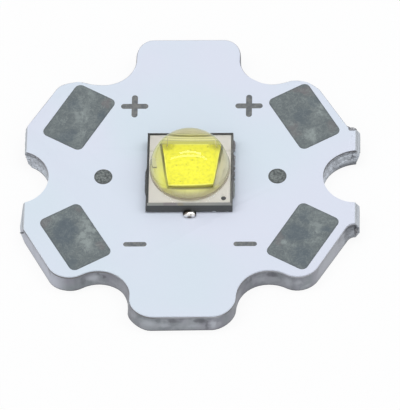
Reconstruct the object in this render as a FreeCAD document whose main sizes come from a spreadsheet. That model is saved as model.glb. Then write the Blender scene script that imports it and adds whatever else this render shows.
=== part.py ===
"""A star-shaped metal-core board with one domed power LED, in millimetres.

The frame's origin is the centre of the printed pattern on the board's bottom face.
+X runs to the board's right snapped end, +Y to its plus marks and +Z up through the dome.
"""
import FreeCAD, Part
import math
import os
import Sketcher
from FreeCAD import Placement, Rotation, Vector

# Each row is a size's name, its value and what it measures.
SIZES = (
    ("board_flats", 19.9, "star, across two opposite flats"),
    ("routing_shift", 0.27, "routed outline to the left of the printed pattern"),
    ("notch_inset", 0.05, "notch centre inside the circle that touches the flats"),
    ("notch_radius", 1.9, "round screw notch at each of the star's six corners"),
    ("lobe_radius", 1.35, "round between a flat and a notch"),
    ("router_radius", 0.575, "end of the routed slot beside the right snapped end"),
    ("score_inset", 0.325, "edge of the score line inside the flats' half width"),
    ("score_reach", 0.25, "run of the score's flank out to the snapped web"),
    ("score_angle", 30.0, "score's flank from the vertical, in degrees"),
    ("left_tear", 0.09, "snapped web past the score's edge on the left upper lobe"),
    ("aluminium_thickness", 1.24, "metal core"),
    ("dielectric_thickness", 0.1, "insulating layer"),
    ("copper_thickness", 0.07, "copper layer"),
    ("mask_thickness", 0.04, "white mask over the copper"),
    ("copper_inset", 0.35, "copper inside the routed edge"),
    ("copper_gap", 0.3, "gap between two copper areas"),
    ("tin_rise", 0.01, "tinned face above the mask"),
    ("pad_depth", 2.67, "wire pad across the star's arm"),
    ("pad_width", 4.18, "wire pad along the flat"),
    ("pad_corner_radius", 0.36, "wire pad's corner"),
    ("pad_margin", 0.74, "wire pad inside the flat"),
    ("pad_slide", 0.43, "wire pad's centre past the middle of the flat"),
    ("pad_angle", 30.0, "arm that carries a wire pad, from the X axis, in degrees"),
    ("fiducial_margin", 4.87, "fiducial's centre inside the flats' half width"),
    ("fiducial_radius", 0.53, "round fiducial"),
    ("plus_length", 1.6, "plus mark, both ways"),
    ("plus_stroke", 0.35, "plus mark's stroke"),
    ("plus_inward", 1.09, "plus mark's centre past the pad's inner side"),
    ("plus_along", 0.21, "plus mark's centre past the pad's end"),
    ("minus_length", 1.5, "minus mark"),
    ("minus_stroke", 0.31, "minus mark's stroke"),
    ("minus_inward", 1.35, "minus mark's centre past the pad's inner side"),
    ("minus_along", 0.07, "minus mark's centre past the pad's end"),
    ("solder_standoff", 0.03, "package contacts above the mask"),
    ("package_side", 5.0, "square LED package"),
    ("contact_inset", 0.15, "contacts inside the package's side"),
    ("contact_thickness", 0.05, "contacts under the package"),
    ("strip_width", 0.5, "anode and cathode contact strips"),
    ("contact_gap", 0.45, "strip to the thermal contact"),
    ("via_radius", 0.1, "filled via through the ceramic, drawn six-sided, out to its flats"),
    ("via_pitch", 0.9, "via to via along a strip"),
    ("via_count", 3, "vias in a strip"),
    ("bead_half_width", 0.37, "solder bead squeezed out in front of the package, across"),
    ("bead_half_depth", 0.24, "bead, front to back"),
    ("bead_half_height", 0.26, "bead, upright"),
    ("bead_rise", 0.17, "bead's centre above the mask"),
    ("bead_forward", 0.35, "bead's centre in front of the package"),
    ("bead_neck", 0.4, "solder neck between the joint and the bead"),
    ("ceramic_thickness", 0.5, "package's ceramic"),
    ("ceramic_corner_radius", 0.06, "package's vertical corners"),
    ("ridge_height", 0.3, "snapped ridge on the ceramic's right and left sides"),
    ("ridge_rise", 0.1, "ridge above the ceramic's bottom"),
    ("right_ridge_reach", 0.1, "right ridge out of the side"),
    ("right_ridge_length", 4.0, "right ridge along the side"),
    ("left_ridge_reach", 0.08, "left ridge out of the side"),
    ("left_ridge_length", 1.4, "left ridge along the side"),
    ("left_ridge_forward", 0.7, "left ridge's middle in front of the centre"),
    ("plating_thickness", 0.07, "plating on top of the ceramic"),
    ("plating_side_margin", 0.125, "plating inside the package's left and right sides"),
    ("plating_end_margin", 0.06, "plating inside the package's front and back"),
    ("land_gap", 0.06, "gap round the anode land"),
    ("land_width", 2.0, "anode land"),
    ("land_overlap", 0.2, "anode land past the vias' centres"),
    ("dot_radius", 0.15, "polarity hole in the plating"),
    ("dot_side", 0.51, "polarity hole's centre from the right side"),
    ("dot_front", 0.41, "polarity hole's centre from the front"),
    ("die_side", 2.1, "square light-emitting chip"),
    ("die_right", 0.06, "chip's centre to the right of the package's"),
    ("die_back", 0.06, "chip's centre behind the package's"),
    ("die_attach_thickness", 0.03, "solder under the chip"),
    ("die_thickness", 0.08, "chip"),
    ("phosphor_thickness", 0.04, "yellow layer on the chip"),
    ("bond_window", 0.36, "bare corner of the chip for a bond wire"),
    ("wire_radius", 0.02, "bond wire, drawn six-sided, out to its flats"),
    ("wire_inset", 0.15, "bond wire inside the chip's left and right edges"),
    ("wire_back_inset", 0.09, "bond wire inside the chip's back edge"),
    ("land_start", 0.36, "chip's back edge to the anode land"),
    ("wire_landing", 0.12, "bond wire past the land's front edge"),
    ("diode_width", 0.24, "protection diode"),
    ("diode_length", 0.44, "protection diode, front to back"),
    ("diode_height", 0.08, "protection diode"),
    ("diode_clearance", 0.35, "protection diode to the chip"),
    ("diode_back", 0.315, "protection diode's centre behind the chip's"),
    ("flange_thickness", 0.22, "silicone over the plating"),
    ("dome_margin", 0.19, "dome inside the package's sides"),
    ("dome_skirt", 0.05, "upright skirt under the half sphere"),
    ("dome_foot_radius", 0.1, "round where the dome meets its flange"),
)

# Heights above the board's bottom face, one stacked on the other.
ALUMINIUM_TOP = "Sizes.aluminium_thickness"
DIELECTRIC_TOP = ALUMINIUM_TOP + " + Sizes.dielectric_thickness"
COPPER_TOP = DIELECTRIC_TOP + " + Sizes.copper_thickness"
MASK_TOP = COPPER_TOP + " + Sizes.mask_thickness"
CONTACT_BOTTOM = MASK_TOP + " + Sizes.solder_standoff"
CERAMIC_BOTTOM = CONTACT_BOTTOM + " + Sizes.contact_thickness"
CERAMIC_TOP = CERAMIC_BOTTOM + " + Sizes.ceramic_thickness"
PLATING_TOP = CERAMIC_TOP + " + Sizes.plating_thickness"
DIE_BOTTOM = PLATING_TOP + " + Sizes.die_attach_thickness"
DIE_TOP = DIE_BOTTOM + " + Sizes.die_thickness"

# The hexagon that the star is cut from.
CORNERS = 6
CORNER_TURN = 360 / CORNERS
HALF_CORNER_TURN = "30"

# Lengths that follow from the sizes.
HALF_FLATS = "Sizes.board_flats / 2"
SCORE_EDGE = "(Sizes.board_flats / 2 - Sizes.score_inset)"
WEB_EDGE = "(Sizes.board_flats / 2 - Sizes.score_inset + Sizes.score_reach)"
SCORE_DEPTH = "Sizes.score_reach / tan(Sizes.score_angle)"
NOTCH_CIRCLE = "(Sizes.board_flats / 2 - Sizes.notch_inset)"
WEB_HALF = ("((" + HALF_FLATS + " - cos(" + HALF_CORNER_TURN + ") * " + WEB_EDGE + ")"
            " / sin(" + HALF_CORNER_TURN + ") + Sizes.router_radius)")
PAD_RADIAL = HALF_FLATS + " - Sizes.pad_margin - Sizes.pad_depth / 2"
TIN_HEIGHT = "Sizes.mask_thickness + Sizes.tin_rise"
HALF_PACKAGE = "Sizes.package_side / 2"
STRIP_CENTRE = "(" + HALF_PACKAGE + " - Sizes.contact_inset - Sizes.strip_width / 2)"
HALF_THERMAL = "(" + HALF_PACKAGE + " - Sizes.contact_inset - Sizes.strip_width - Sizes.contact_gap)"
HALF_CONTACT = "(" + HALF_PACKAGE + " - Sizes.contact_inset)"
COPPER_SPLIT = "(" + HALF_THERMAL + " + Sizes.contact_gap / 2)"
LAND_FRONT = "(Sizes.die_back + Sizes.die_side / 2 + Sizes.land_start)"
LAND_BACK = "(" + STRIP_CENTRE + " + Sizes.land_overlap)"
HALF_LAND = "Sizes.land_width / 2"
DOME_RADIUS = "(" + HALF_PACKAGE + " - Sizes.dome_margin)"
CLEAR_OF_BOARD = "Sizes.board_flats"

TOUCH = 1e-4


def size_sheet(doc):
    """Put every size in the sheet under its own name."""
    sheet = doc.addObject("Spreadsheet::Sheet", "Sizes")
    for row, (name, value, meaning) in enumerate(SIZES, start=1):
        sheet.set("A%d" % row, name)
        sheet.set("B%d" % row, str(value))
        sheet.set("C%d" % row, meaning)
        sheet.setAlias("B%d" % row, name)
    doc.recompute()
    return sheet


class Builder:
    """Makes the document's sub-parts from the sheet's sizes."""

    def __init__(self, doc, sheet):
        self.doc = doc
        self.sheet = sheet
        self.parts = {}

    def worth(self, expression):
        """The number that an expression gives with the sheet's present sizes."""
        result = self.sheet.evalExpression(expression)
        return float(getattr(result, "Value", result))

    def keep(self, name, item):
        """Label a finished sub-part, which names its file."""
        item.Label = name
        self.parts[name] = item
        return item

    def body(self, name, x="0", y="0", z="0", turn=None):
        """Start a body at a place, turned about Z."""
        body = self.doc.addObject("PartDesign::Body", name)
        if turn is not None:
            body.Placement = Placement(Vector(0, 0, 0), Rotation(Vector(0, 0, 1), self.worth(turn)))
            body.setExpression("Placement.Rotation.Angle", turn)
        for letter, expression in (("x", x), ("y", y), ("z", z)):
            body.setExpression("Placement.Base." + letter, expression)
        return body

    def origin(self, body, role):
        """One of a body's own origin planes or axes."""
        return next(item for item in body.Origin.OriginFeatures if item.Role == role)

    def sketch(self, body, name, role="XY_Plane", turn=0, **moves):
        """Start a sketch on one of the body's origin planes, moved along the plane's own x, y or z."""
        sketch = body.newObject("Sketcher::SketchObject", name)
        sketch.AttachmentSupport = [(self.origin(body, role), "")]
        sketch.MapMode = "FlatFace"
        if turn:
            sketch.AttachmentOffset = Placement(Vector(0, 0, 0), Rotation(Vector(0, 0, 1), turn))
        for letter, expression in moves.items():
            sketch.setExpression("AttachmentOffset.Base." + letter, expression)
        return sketch

    def hold(self, sketch, expression, *constraint):
        """Add a constraint whose value follows an expression."""
        index = sketch.addConstraint(Sketcher.Constraint(*constraint, self.worth(expression)))
        sketch.setExpression("Constraints[%d]" % index, expression)

    def outline(self, sketch, corners):
        """Close straight lines through corners that are each held by two expressions."""
        points = [Vector(self.worth(x), self.worth(y), 0) for x, y in corners]
        count = len(points)
        for index in range(count):
            line = Part.LineSegment(points[index], points[(index + 1) % count])
            sketch.addGeometry(line, False)
        for index in range(count):
            following = (index + 1) % count
            sketch.addConstraint(Sketcher.Constraint("Coincident", index, 2, following, 1))
        for index, (x, y) in enumerate(corners):
            self.hold(sketch, x, "DistanceX", -1, 1, index, 1)
            self.hold(sketch, y, "DistanceY", -1, 1, index, 1)

    def box_outline(self, sketch, left, right, front, back):
        """A rectangle between four expressions."""
        self.outline(sketch, ((left, front), (right, front), (right, back), (left, back)))

    def circle(self, sketch, radius, x="0", y="0"):
        """A circle held by its centre and radius."""
        centre = Vector(self.worth(x), self.worth(y), 0)
        circle = Part.Circle(centre, Vector(0, 0, 1), self.worth(radius))
        index = sketch.addGeometry(circle, False)
        self.hold(sketch, radius, "Radius", index)
        self.hold(sketch, x, "DistanceX", -1, 1, index, 3)
        self.hold(sketch, y, "DistanceY", -1, 1, index, 3)

    def hexagon(self, sketch, half_flats):
        """A regular hexagon with corners on the X axis, held by the circle through its corners."""
        around = half_flats + " / cos(" + HALF_CORNER_TURN + ")"
        radius = self.worth(around)
        corners = [Vector(radius, 0, 0) for turn in range(CORNERS)]
        for turn, corner in enumerate(corners):
            corners[turn] = Rotation(Vector(0, 0, 1), turn * CORNER_TURN).multVec(corner)
        for turn in range(CORNERS):
            sketch.addGeometry(Part.LineSegment(corners[turn], corners[(turn + 1) % CORNERS]), False)
        ring = sketch.addGeometry(Part.Circle(Vector(0, 0, 0), Vector(0, 0, 1), radius), True)
        sketch.addConstraint(Sketcher.Constraint("Coincident", ring, 3, -1, 1))
        for turn in range(CORNERS):
            sketch.addConstraint(Sketcher.Constraint("Coincident", turn, 2, (turn + 1) % CORNERS, 1))
            sketch.addConstraint(Sketcher.Constraint("PointOnObject", turn, 1, ring))
        for turn in range(1, CORNERS):
            sketch.addConstraint(Sketcher.Constraint("Equal", 0, turn))
        sketch.addConstraint(Sketcher.Constraint("Horizontal", 1))
        self.hold(sketch, around, "Radius", ring)

    def slot(self, sketch, length, stroke):
        """A bar with round ends, centred on the origin."""
        half_stroke = self.worth(stroke + " / 2")
        reach = self.worth("(" + length + " - " + stroke + ") / 2")
        up = Vector(0, half_stroke, 0)
        right = Vector(reach, 0, 0)
        normal = Vector(0, 0, 1)
        top = sketch.addGeometry(Part.LineSegment(right + up, up - right), False)
        left_circle = Part.Circle(Vector(0, 0, 0) - right, normal, half_stroke)
        left_end = sketch.addGeometry(Part.ArcOfCircle(left_circle, math.pi / 2, 3 * math.pi / 2), False)
        base = sketch.addGeometry(Part.LineSegment(Vector(0, 0, 0) - right - up, right - up), False)
        right_circle = Part.Circle(right, normal, half_stroke)
        right_end = sketch.addGeometry(Part.ArcOfCircle(right_circle, -math.pi / 2, math.pi / 2), False)
        sketch.addConstraint(Sketcher.Constraint("Tangent", top, 2, left_end, 1))
        sketch.addConstraint(Sketcher.Constraint("Tangent", left_end, 2, base, 1))
        sketch.addConstraint(Sketcher.Constraint("Tangent", base, 2, right_end, 1))
        sketch.addConstraint(Sketcher.Constraint("Tangent", right_end, 2, top, 1))
        sketch.addConstraint(Sketcher.Constraint("Horizontal", top))
        sketch.addConstraint(Sketcher.Constraint("Symmetric", left_end, 3, right_end, 3, -1, 1))
        self.hold(sketch, stroke + " / 2", "Radius", left_end)
        self.hold(sketch, "(" + length + " - " + stroke + ") / 2", "DistanceX", -1, 1, right_end, 3)

    def pad(self, body, sketch, name, length):
        """Raise a sketch by a length."""
        feature = body.newObject("PartDesign::Pad", name)
        feature.Profile = sketch
        feature.setExpression("Length", length)
        return feature

    def cut_through(self, body, sketch, name):
        """Cut a sketch through the whole body, both ways."""
        feature = body.newObject("PartDesign::Pocket", name)
        feature.Profile = sketch
        feature.Type = "ThroughAll"
        feature.SideType = "Symmetric"
        return feature

    def row_along_x(self, body, original, name, count, pitch):
        """Repeat a feature along X."""
        pattern = body.newObject("PartDesign::LinearPattern", name)
        pattern.Originals = [original]
        pattern.Direction = (self.origin(body, "X_Axis"), [""])
        pattern.setExpression("Occurrences", count)
        pattern.setExpression("Length", "(" + count + " - 1) * " + pitch)
        body.Tip = pattern
        return pattern

    def ring_about_z(self, body, original, name, count):
        """Repeat a feature round Z."""
        pattern = body.newObject("PartDesign::PolarPattern", name)
        pattern.Originals = [original]
        pattern.Axis = (self.origin(body, "Z_Axis"), [""])
        pattern.Angle = 360
        pattern.Occurrences = count
        body.Tip = pattern
        return pattern

    def round_edges(self, body, name, radius, wanted):
        """Round the upright edges of a body whose foot is wanted."""
        self.doc.recompute()
        tip = body.Tip
        names = []
        for index, edge in enumerate(tip.Shape.Edges, start=1):
            ends = edge.Vertexes
            if len(ends) != 2:
                continue
            foot = ends[0].Point
            head = ends[1].Point
            if math.hypot(head.x - foot.x, head.y - foot.y) > TOUCH:
                continue
            if wanted(foot.x, foot.y):
                names.append("Edge%d" % index)
        fillet = body.newObject("PartDesign::Fillet", name)
        fillet.Base = (tip, names)
        fillet.setExpression("Radius", radius)

    def join(self, name, base, tools):
        """Leave in a blank only what its neighbours don't take."""
        filling = self.doc.addObject("Part::Compound", name + "_neighbours")
        filling.Links = tools
        cut = self.doc.addObject("Part::Cut", name)
        cut.Base = base
        cut.Tool = filling
        return cut


def routed_plate(build, name, bottom, thickness, inset="0", scored=True):
    """One layer of the star, in the routed outline's own centre.

    The blank is a hexagon with the web that once tied it to the next star in the row.
    Six notches are cut at its corners and the lobes between them are rounded.
    """
    body = build.body(name, x="-Sizes.routing_shift", z=bottom)
    blank = build.sketch(body, name + "_hexagon")
    build.hexagon(blank, "(" + HALF_FLATS + " - " + inset + ")")
    build.pad(body, blank, name + "_blank", thickness)

    web_half = "(" + WEB_HALF + " - " + inset + ")"
    far_right = WEB_EDGE + " + Sizes.routing_shift + 2 * Sizes.router_radius + " + inset
    web = build.sketch(body, name + "_web")
    build.box_outline(web, "0", far_right, "-" + web_half, web_half)
    build.pad(body, web, name + "_web_pad", thickness)

    half_web = build.worth(web_half)
    web_end = build.worth(far_right)

    def slot_corner(x, y):
        return abs(abs(y) - half_web) < TOUCH and 0 < x < web_end - TOUCH

    build.round_edges(body, name + "_slot_ends", "Sizes.router_radius + " + inset, slot_corner)
    trim_ends(build, body, name, inset, scored)

    notch = build.sketch(body, name + "_notch")
    build.circle(notch, "Sizes.notch_radius + " + inset, x=NOTCH_CIRCLE)
    cut = build.cut_through(body, notch, name + "_notch_cut")
    build.ring_about_z(body, cut, name + "_six_notches", CORNERS)

    first_notch = Vector(build.worth(NOTCH_CIRCLE), 0, 0)
    notch_radius = build.worth("Sizes.notch_radius + " + inset)
    centres = [Rotation(Vector(0, 0, 1), turn * CORNER_TURN).multVec(first_notch) for turn in (1, 2, 4, 5)]

    def lobe_corner(x, y):
        return any(abs(math.hypot(x - at.x, y - at.y) - notch_radius) < TOUCH for at in centres)

    build.round_edges(body, name + "_lobes", "Sizes.lobe_radius - " + inset, lobe_corner)
    if scored:
        score_grooves(build, body, name, bottom)
    return body


def trim_ends(build, body, name, inset, scored):
    """Cut both ends off where the star was snapped from its neighbours, or short of there."""
    end = WEB_EDGE if scored else SCORE_EDGE
    right = end + " - " + inset + " + Sizes.routing_shift"
    left = "-(" + end + " - " + inset + ") + Sizes.routing_shift"
    right_end = build.sketch(body, name + "_right_end")
    build.box_outline(right_end, right, CLEAR_OF_BOARD, "-" + CLEAR_OF_BOARD, CLEAR_OF_BOARD)
    build.cut_through(body, right_end, name + "_right_snap")
    left_end = build.sketch(body, name + "_left_end")
    if scored:
        torn = "-(" + SCORE_EDGE + " + Sizes.left_tear) + Sizes.routing_shift"
        build.outline(left_end, (
            ("-" + CLEAR_OF_BOARD, "-" + CLEAR_OF_BOARD),
            (left, "-" + CLEAR_OF_BOARD),
            (left, "-" + WEB_HALF),
            (torn, "-Sizes.notch_radius"),
            (torn, CLEAR_OF_BOARD),
            ("-" + CLEAR_OF_BOARD, CLEAR_OF_BOARD)))
    else:
        build.box_outline(left_end, "-" + CLEAR_OF_BOARD, left, "-" + CLEAR_OF_BOARD, CLEAR_OF_BOARD)
    build.cut_through(body, left_end, name + "_left_snap")


def score_grooves(build, body, name, bottom):
    """Slope the snapped ends back from the web to the score line's edges on both faces."""
    board_top = "(" + MASK_TOP + " - (" + bottom + "))"
    has_bottom_groove = build.worth(bottom) < build.worth(SCORE_DEPTH)
    for side, sign in (("right", "1"), ("left", "-1")):
        edge = sign + " * " + SCORE_EDGE + " + Sizes.routing_shift"
        web = sign + " * " + WEB_EDGE + " + Sizes.routing_shift"
        away = sign + " * (" + WEB_EDGE + " + Sizes.router_radius) + Sizes.routing_shift"
        top = build.sketch(body, name + "_" + side + "_top_score", "XZ_Plane")
        foot = board_top + " - " + SCORE_DEPTH
        build.outline(top, ((edge, board_top), (web, foot), (away, foot), (away, board_top)))
        build.cut_through(body, top, name + "_" + side + "_top_groove")
        if has_bottom_groove:
            under = build.sketch(body, name + "_" + side + "_bottom_score", "XZ_Plane")
            build.outline(under, ((edge, "0"), (web, SCORE_DEPTH), (away, SCORE_DEPTH), (away, "0")))
            build.cut_through(body, under, name + "_" + side + "_bottom_groove")


def copper_area(build, name, keep):
    """One copper area: the star drawn in from its edge, between the gaps that split the layer."""
    body = routed_plate(build, name, DIELECTRIC_TOP, "Sizes.copper_thickness", "Sizes.copper_inset", False)
    near = COPPER_SPLIT + " - Sizes.copper_gap / 2"
    past = COPPER_SPLIT + " + Sizes.copper_gap / 2"
    far = CLEAR_OF_BOARD
    taken = {
        "positive": (("-" + far, past),),
        "negative": (("-(" + past + ")", far),),
        "thermal": ((near, far), ("-" + far, "-(" + near + ")")),
    }[keep]
    for index, (front, back) in enumerate(taken):
        sketch = build.sketch(body, "%s_gap_%d" % (name, index))
        build.box_outline(sketch, "-" + far, far, front, back)
        build.cut_through(body, sketch, "%s_split_%d" % (name, index))
    return build.keep(name, body)


def along_arm(radial, along, right, up):
    """Where a place measured along and across a wire pad's arm lies, mirrored to its quarter."""
    x = "(({0}) * cos(Sizes.pad_angle) - ({1}) * sin(Sizes.pad_angle))".format(radial, along)
    y = "(({0}) * sin(Sizes.pad_angle) + ({1}) * cos(Sizes.pad_angle))".format(radial, along)
    return ("%d * %s" % (right, x), "%d * %s" % (up, y))


def wire_pad(build, name, right, up):
    """A tinned pad for a supply wire, square to its arm."""
    x, y = along_arm(PAD_RADIAL, "Sizes.pad_slide", right, up)
    turn = "Sizes.pad_angle" if right == up else "180 - Sizes.pad_angle"
    body = build.body(name, x, y, COPPER_TOP, turn)
    sketch = build.sketch(body, name + "_outline")
    half_depth = "Sizes.pad_depth / 2"
    half_width = "Sizes.pad_width / 2"
    build.box_outline(sketch, "-" + half_depth, half_depth, "-" + half_width, half_width)
    build.pad(body, sketch, name + "_tin", TIN_HEIGHT)
    build.round_edges(body, name + "_corners", "Sizes.pad_corner_radius", lambda x, y: True)
    return build.keep(name, body)


def fiducial(build, name, right):
    """A round tinned target for the placing machine."""
    body = build.body(name, "%d * (%s - Sizes.fiducial_margin)" % (right, HALF_FLATS), z=COPPER_TOP)
    sketch = build.sketch(body, name + "_outline")
    build.circle(sketch, "Sizes.fiducial_radius")
    build.pad(body, sketch, name + "_tin", TIN_HEIGHT)
    return build.keep(name, body)


def polarity_mark(build, name, sort, right, up):
    """A tinned plus or minus beside a wire pad."""
    radial = "{0} - Sizes.pad_depth / 2 - Sizes.{1}_inward".format(PAD_RADIAL, sort)
    along = "Sizes.pad_slide + Sizes.pad_width / 2 + Sizes.{0}_along".format(sort)
    x, y = along_arm(radial, along, right, up)
    body = build.body(name, x, y, COPPER_TOP)
    length = "Sizes.{0}_length".format(sort)
    stroke = "Sizes.{0}_stroke".format(sort)
    for index, turn in enumerate((0, 90) if sort == "plus" else (0,)):
        bar = build.sketch(body, "%s_bar_%d" % (name, index), turn=turn)
        build.slot(bar, length, stroke)
        build.pad(body, bar, "%s_tin_%d" % (name, index), TIN_HEIGHT)
    return build.keep(name, body)


def solder_joint(build, name, front, back):
    """Solder between a copper area and a package contact, through the mask's opening."""
    body = build.body(name, z=COPPER_TOP)
    sketch = build.sketch(body, name + "_outline")
    build.box_outline(sketch, "-" + HALF_CONTACT, HALF_CONTACT, front, back)
    build.pad(body, sketch, name + "_fill", "Sizes.mask_thickness + Sizes.solder_standoff")
    return build.keep(name, body)


def add_bead(build, body):
    """Solder squeezed out in front of the package: a neck under its edge and a flattened bead."""
    bead_centre = "-(" + HALF_PACKAGE + " + Sizes.bead_forward)"
    neck = build.sketch(body, "bead_neck_outline", z="Sizes.mask_thickness")
    half_neck = "Sizes.bead_neck / 2"
    build.box_outline(neck, "-" + half_neck, half_neck, bead_centre, "-" + STRIP_CENTRE)
    build.pad(body, neck, "bead_neck_fill", "Sizes.solder_standoff")
    bead = body.newObject("PartDesign::AdditiveEllipsoid", "bead_ball")
    bead.AttachmentSupport = [(build.origin(body, "XY_Plane"), "")]
    bead.MapMode = "FlatFace"
    bead.setExpression("AttachmentOffset.Base.y", bead_centre)
    bead.setExpression("AttachmentOffset.Base.z", "Sizes.mask_thickness + Sizes.bead_rise")
    bead.setExpression("Radius1", "Sizes.bead_half_height")
    bead.setExpression("Radius2", "Sizes.bead_half_width")
    bead.setExpression("Radius3", "Sizes.bead_half_depth")
    bead.setExpression("Angle1", "-asin(Sizes.bead_rise / Sizes.bead_half_height)")


def package_contact(build, name, front, back, via_centre=None):
    """A plated contact under the ceramic, with its filled vias where it has them."""
    body = build.body(name, z=CONTACT_BOTTOM)
    sketch = build.sketch(body, name + "_outline")
    build.box_outline(sketch, "-" + HALF_CONTACT, HALF_CONTACT, front, back)
    build.pad(body, sketch, name + "_plate", "Sizes.contact_thickness")
    if via_centre:
        via = build.sketch(body, name + "_via_outline", x=first_via(), y=via_centre)
        build.hexagon(via, "Sizes.via_radius")
        filled = build.pad(body, via, name + "_via", "Sizes.contact_thickness + Sizes.ceramic_thickness")
        build.row_along_x(body, filled, name + "_vias", "Sizes.via_count", "Sizes.via_pitch")
    return build.keep(name, body)


def first_via():
    """The leftmost via of a strip, from the strip's middle."""
    return "-(Sizes.via_count - 1) * Sizes.via_pitch / 2"


def ceramic_substrate(build):
    """The package's ceramic, with via holes and the ridges its snapped sides keep."""
    name = "ceramic_substrate"
    body = build.body(name, z=CERAMIC_BOTTOM)
    slab = build.sketch(body, name + "_outline")
    build.box_outline(slab, "-" + HALF_PACKAGE, HALF_PACKAGE, "-" + HALF_PACKAGE, HALF_PACKAGE)
    build.pad(body, slab, name + "_slab", "Sizes.ceramic_thickness")
    build.round_edges(body, name + "_corners", "Sizes.ceramic_corner_radius", lambda x, y: True)
    half_right = "Sizes.right_ridge_length / 2"
    right = build.sketch(body, name + "_right_outline", z="Sizes.ridge_rise")
    build.box_outline(right, "0", HALF_PACKAGE + " + Sizes.right_ridge_reach", "-" + half_right, half_right)
    build.pad(body, right, name + "_right_ridge", "Sizes.ridge_height")
    left = build.sketch(body, name + "_left_outline", z="Sizes.ridge_rise")
    left_front = "-Sizes.left_ridge_forward - Sizes.left_ridge_length / 2"
    left_back = "-Sizes.left_ridge_forward + Sizes.left_ridge_length / 2"
    left_reach = "-(" + HALF_PACKAGE + " + Sizes.left_ridge_reach)"
    build.box_outline(left, left_reach, "0", left_front, left_back)
    build.pad(body, left, name + "_left_ridge", "Sizes.ridge_height")
    for side, centre in (("anode", STRIP_CENTRE), ("cathode", "-" + STRIP_CENTRE)):
        hole = build.sketch(body, name + "_" + side + "_hole", x=first_via(), y=centre)
        build.hexagon(hole, "Sizes.via_radius")
        cut = build.cut_through(body, hole, name + "_" + side + "_drill")
        build.row_along_x(body, cut, name + "_" + side + "_holes", "Sizes.via_count", "Sizes.via_pitch")
    return build.keep(name, body)


def cathode_plating(build):
    """The bright plating that carries the chip, open round the anode land and at the polarity dot."""
    name = "cathode_plating"
    body = build.body(name, z=CERAMIC_TOP)
    half_x = "(" + HALF_PACKAGE + " - Sizes.plating_side_margin)"
    half_y = "(" + HALF_PACKAGE + " - Sizes.plating_end_margin)"
    sheet = build.sketch(body, name + "_outline")
    build.box_outline(sheet, "-" + half_x, half_x, "-" + half_y, half_y)
    build.pad(body, sheet, name + "_plate", "Sizes.plating_thickness")
    window = build.sketch(body, name + "_window_outline")
    build.box_outline(window, "-(" + HALF_LAND + " + Sizes.land_gap)", HALF_LAND + " + Sizes.land_gap",
                      LAND_FRONT + " - Sizes.land_gap", LAND_BACK + " + Sizes.land_gap")
    build.cut_through(body, window, name + "_window")
    dot = build.sketch(body, name + "_dot_outline")
    build.circle(dot, "Sizes.dot_radius", HALF_PACKAGE + " - Sizes.dot_side",
                 "-(" + HALF_PACKAGE + " - Sizes.dot_front)")
    build.cut_through(body, dot, name + "_polarity_dot")
    return build.keep(name, body)


def anode_land(build):
    """The plated land that the bond wires reach."""
    name = "anode_land"
    body = build.body(name, z=CERAMIC_TOP)
    sketch = build.sketch(body, name + "_outline")
    build.box_outline(sketch, "-" + HALF_LAND, HALF_LAND, LAND_FRONT, LAND_BACK)
    build.pad(body, sketch, name + "_plate", "Sizes.plating_thickness")
    return build.keep(name, body)


def chip_layer(build, name, bottom, thickness):
    """A square layer of the chip's stack."""
    body = build.body(name, "Sizes.die_right", "Sizes.die_back", bottom)
    half = "Sizes.die_side / 2"
    sketch = build.sketch(body, name + "_outline")
    build.box_outline(sketch, "-" + half, half, "-" + half, half)
    build.pad(body, sketch, name + "_square", thickness)
    return build.keep(name, body)


def open_bond_corners(build, body, name):
    """Leave the chip's two back corners bare for the bond wires."""
    half = "Sizes.die_side / 2"
    inner = "(" + half + " - Sizes.bond_window)"
    for side, near, far in (("left", "-" + half, "-" + inner), ("right", inner, half)):
        sketch = build.sketch(body, name + "_" + side + "_window")
        build.box_outline(sketch, near, far, inner, half)
        build.cut_through(body, sketch, name + "_" + side + "_corner")


def bond_wire(build, name, right):
    """A wire that rises from the chip's corner, arches back and drops to the anode land."""
    inset = "(Sizes.die_side / 2 - Sizes.wire_inset)"
    start_y = "(Sizes.die_back + Sizes.die_side / 2 - Sizes.wire_back_inset)"
    end_y = "(" + LAND_FRONT + " + Sizes.wire_landing)"
    arch = "((" + end_y + " - " + start_y + ") / 2)"
    drop = "(Sizes.die_attach_thickness + Sizes.die_thickness)"
    body = build.body(name, "Sizes.die_right + %d * %s" % (right, inset), start_y, DIE_TOP)
    section = build.sketch(body, name + "_section")
    build.hexagon(section, "Sizes.wire_radius")
    path = build.sketch(body, name + "_path", "YZ_Plane")
    radius = build.worth(arch)
    fall = build.worth(drop)
    top = Part.Circle(Vector(radius, 0, 0), Vector(0, 0, 1), radius)
    bow = path.addGeometry(Part.ArcOfCircle(top, 0, math.pi), False)
    leg = path.addGeometry(Part.LineSegment(Vector(2 * radius, 0, 0), Vector(2 * radius, -fall, 0)), False)
    path.addConstraint(Sketcher.Constraint("Coincident", bow, 2, -1, 1))
    path.addConstraint(Sketcher.Constraint("PointOnObject", bow, 3, -1))
    path.addConstraint(Sketcher.Constraint("Tangent", bow, 1, leg, 1))
    path.addConstraint(Sketcher.Constraint("PointOnObject", leg, 1, -1))
    build.hold(path, arch, "Radius", bow)
    build.hold(path, drop, "DistanceY", leg, 2, leg, 1)
    build.doc.recompute()
    wire = body.newObject("PartDesign::AdditivePipe", name + "_wire")
    wire.Profile = section
    wire.Spine = (path, ["Edge1", "Edge2"])
    return build.keep(name, body)


def protection_diode(build):
    """A small low diode on the plating, left of the chip."""
    name = "protection_diode"
    across = "Sizes.diode_width / 2"
    along = "Sizes.diode_length / 2"
    x = "Sizes.die_right - Sizes.die_side / 2 - Sizes.diode_clearance - " + across
    body = build.body(name, x, "Sizes.die_back + Sizes.diode_back", PLATING_TOP)
    sketch = build.sketch(body, name + "_outline")
    build.box_outline(sketch, "-" + across, across, "-" + along, along)
    build.pad(body, sketch, name + "_chip", "Sizes.diode_height")
    return build.keep(name, body)


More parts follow.
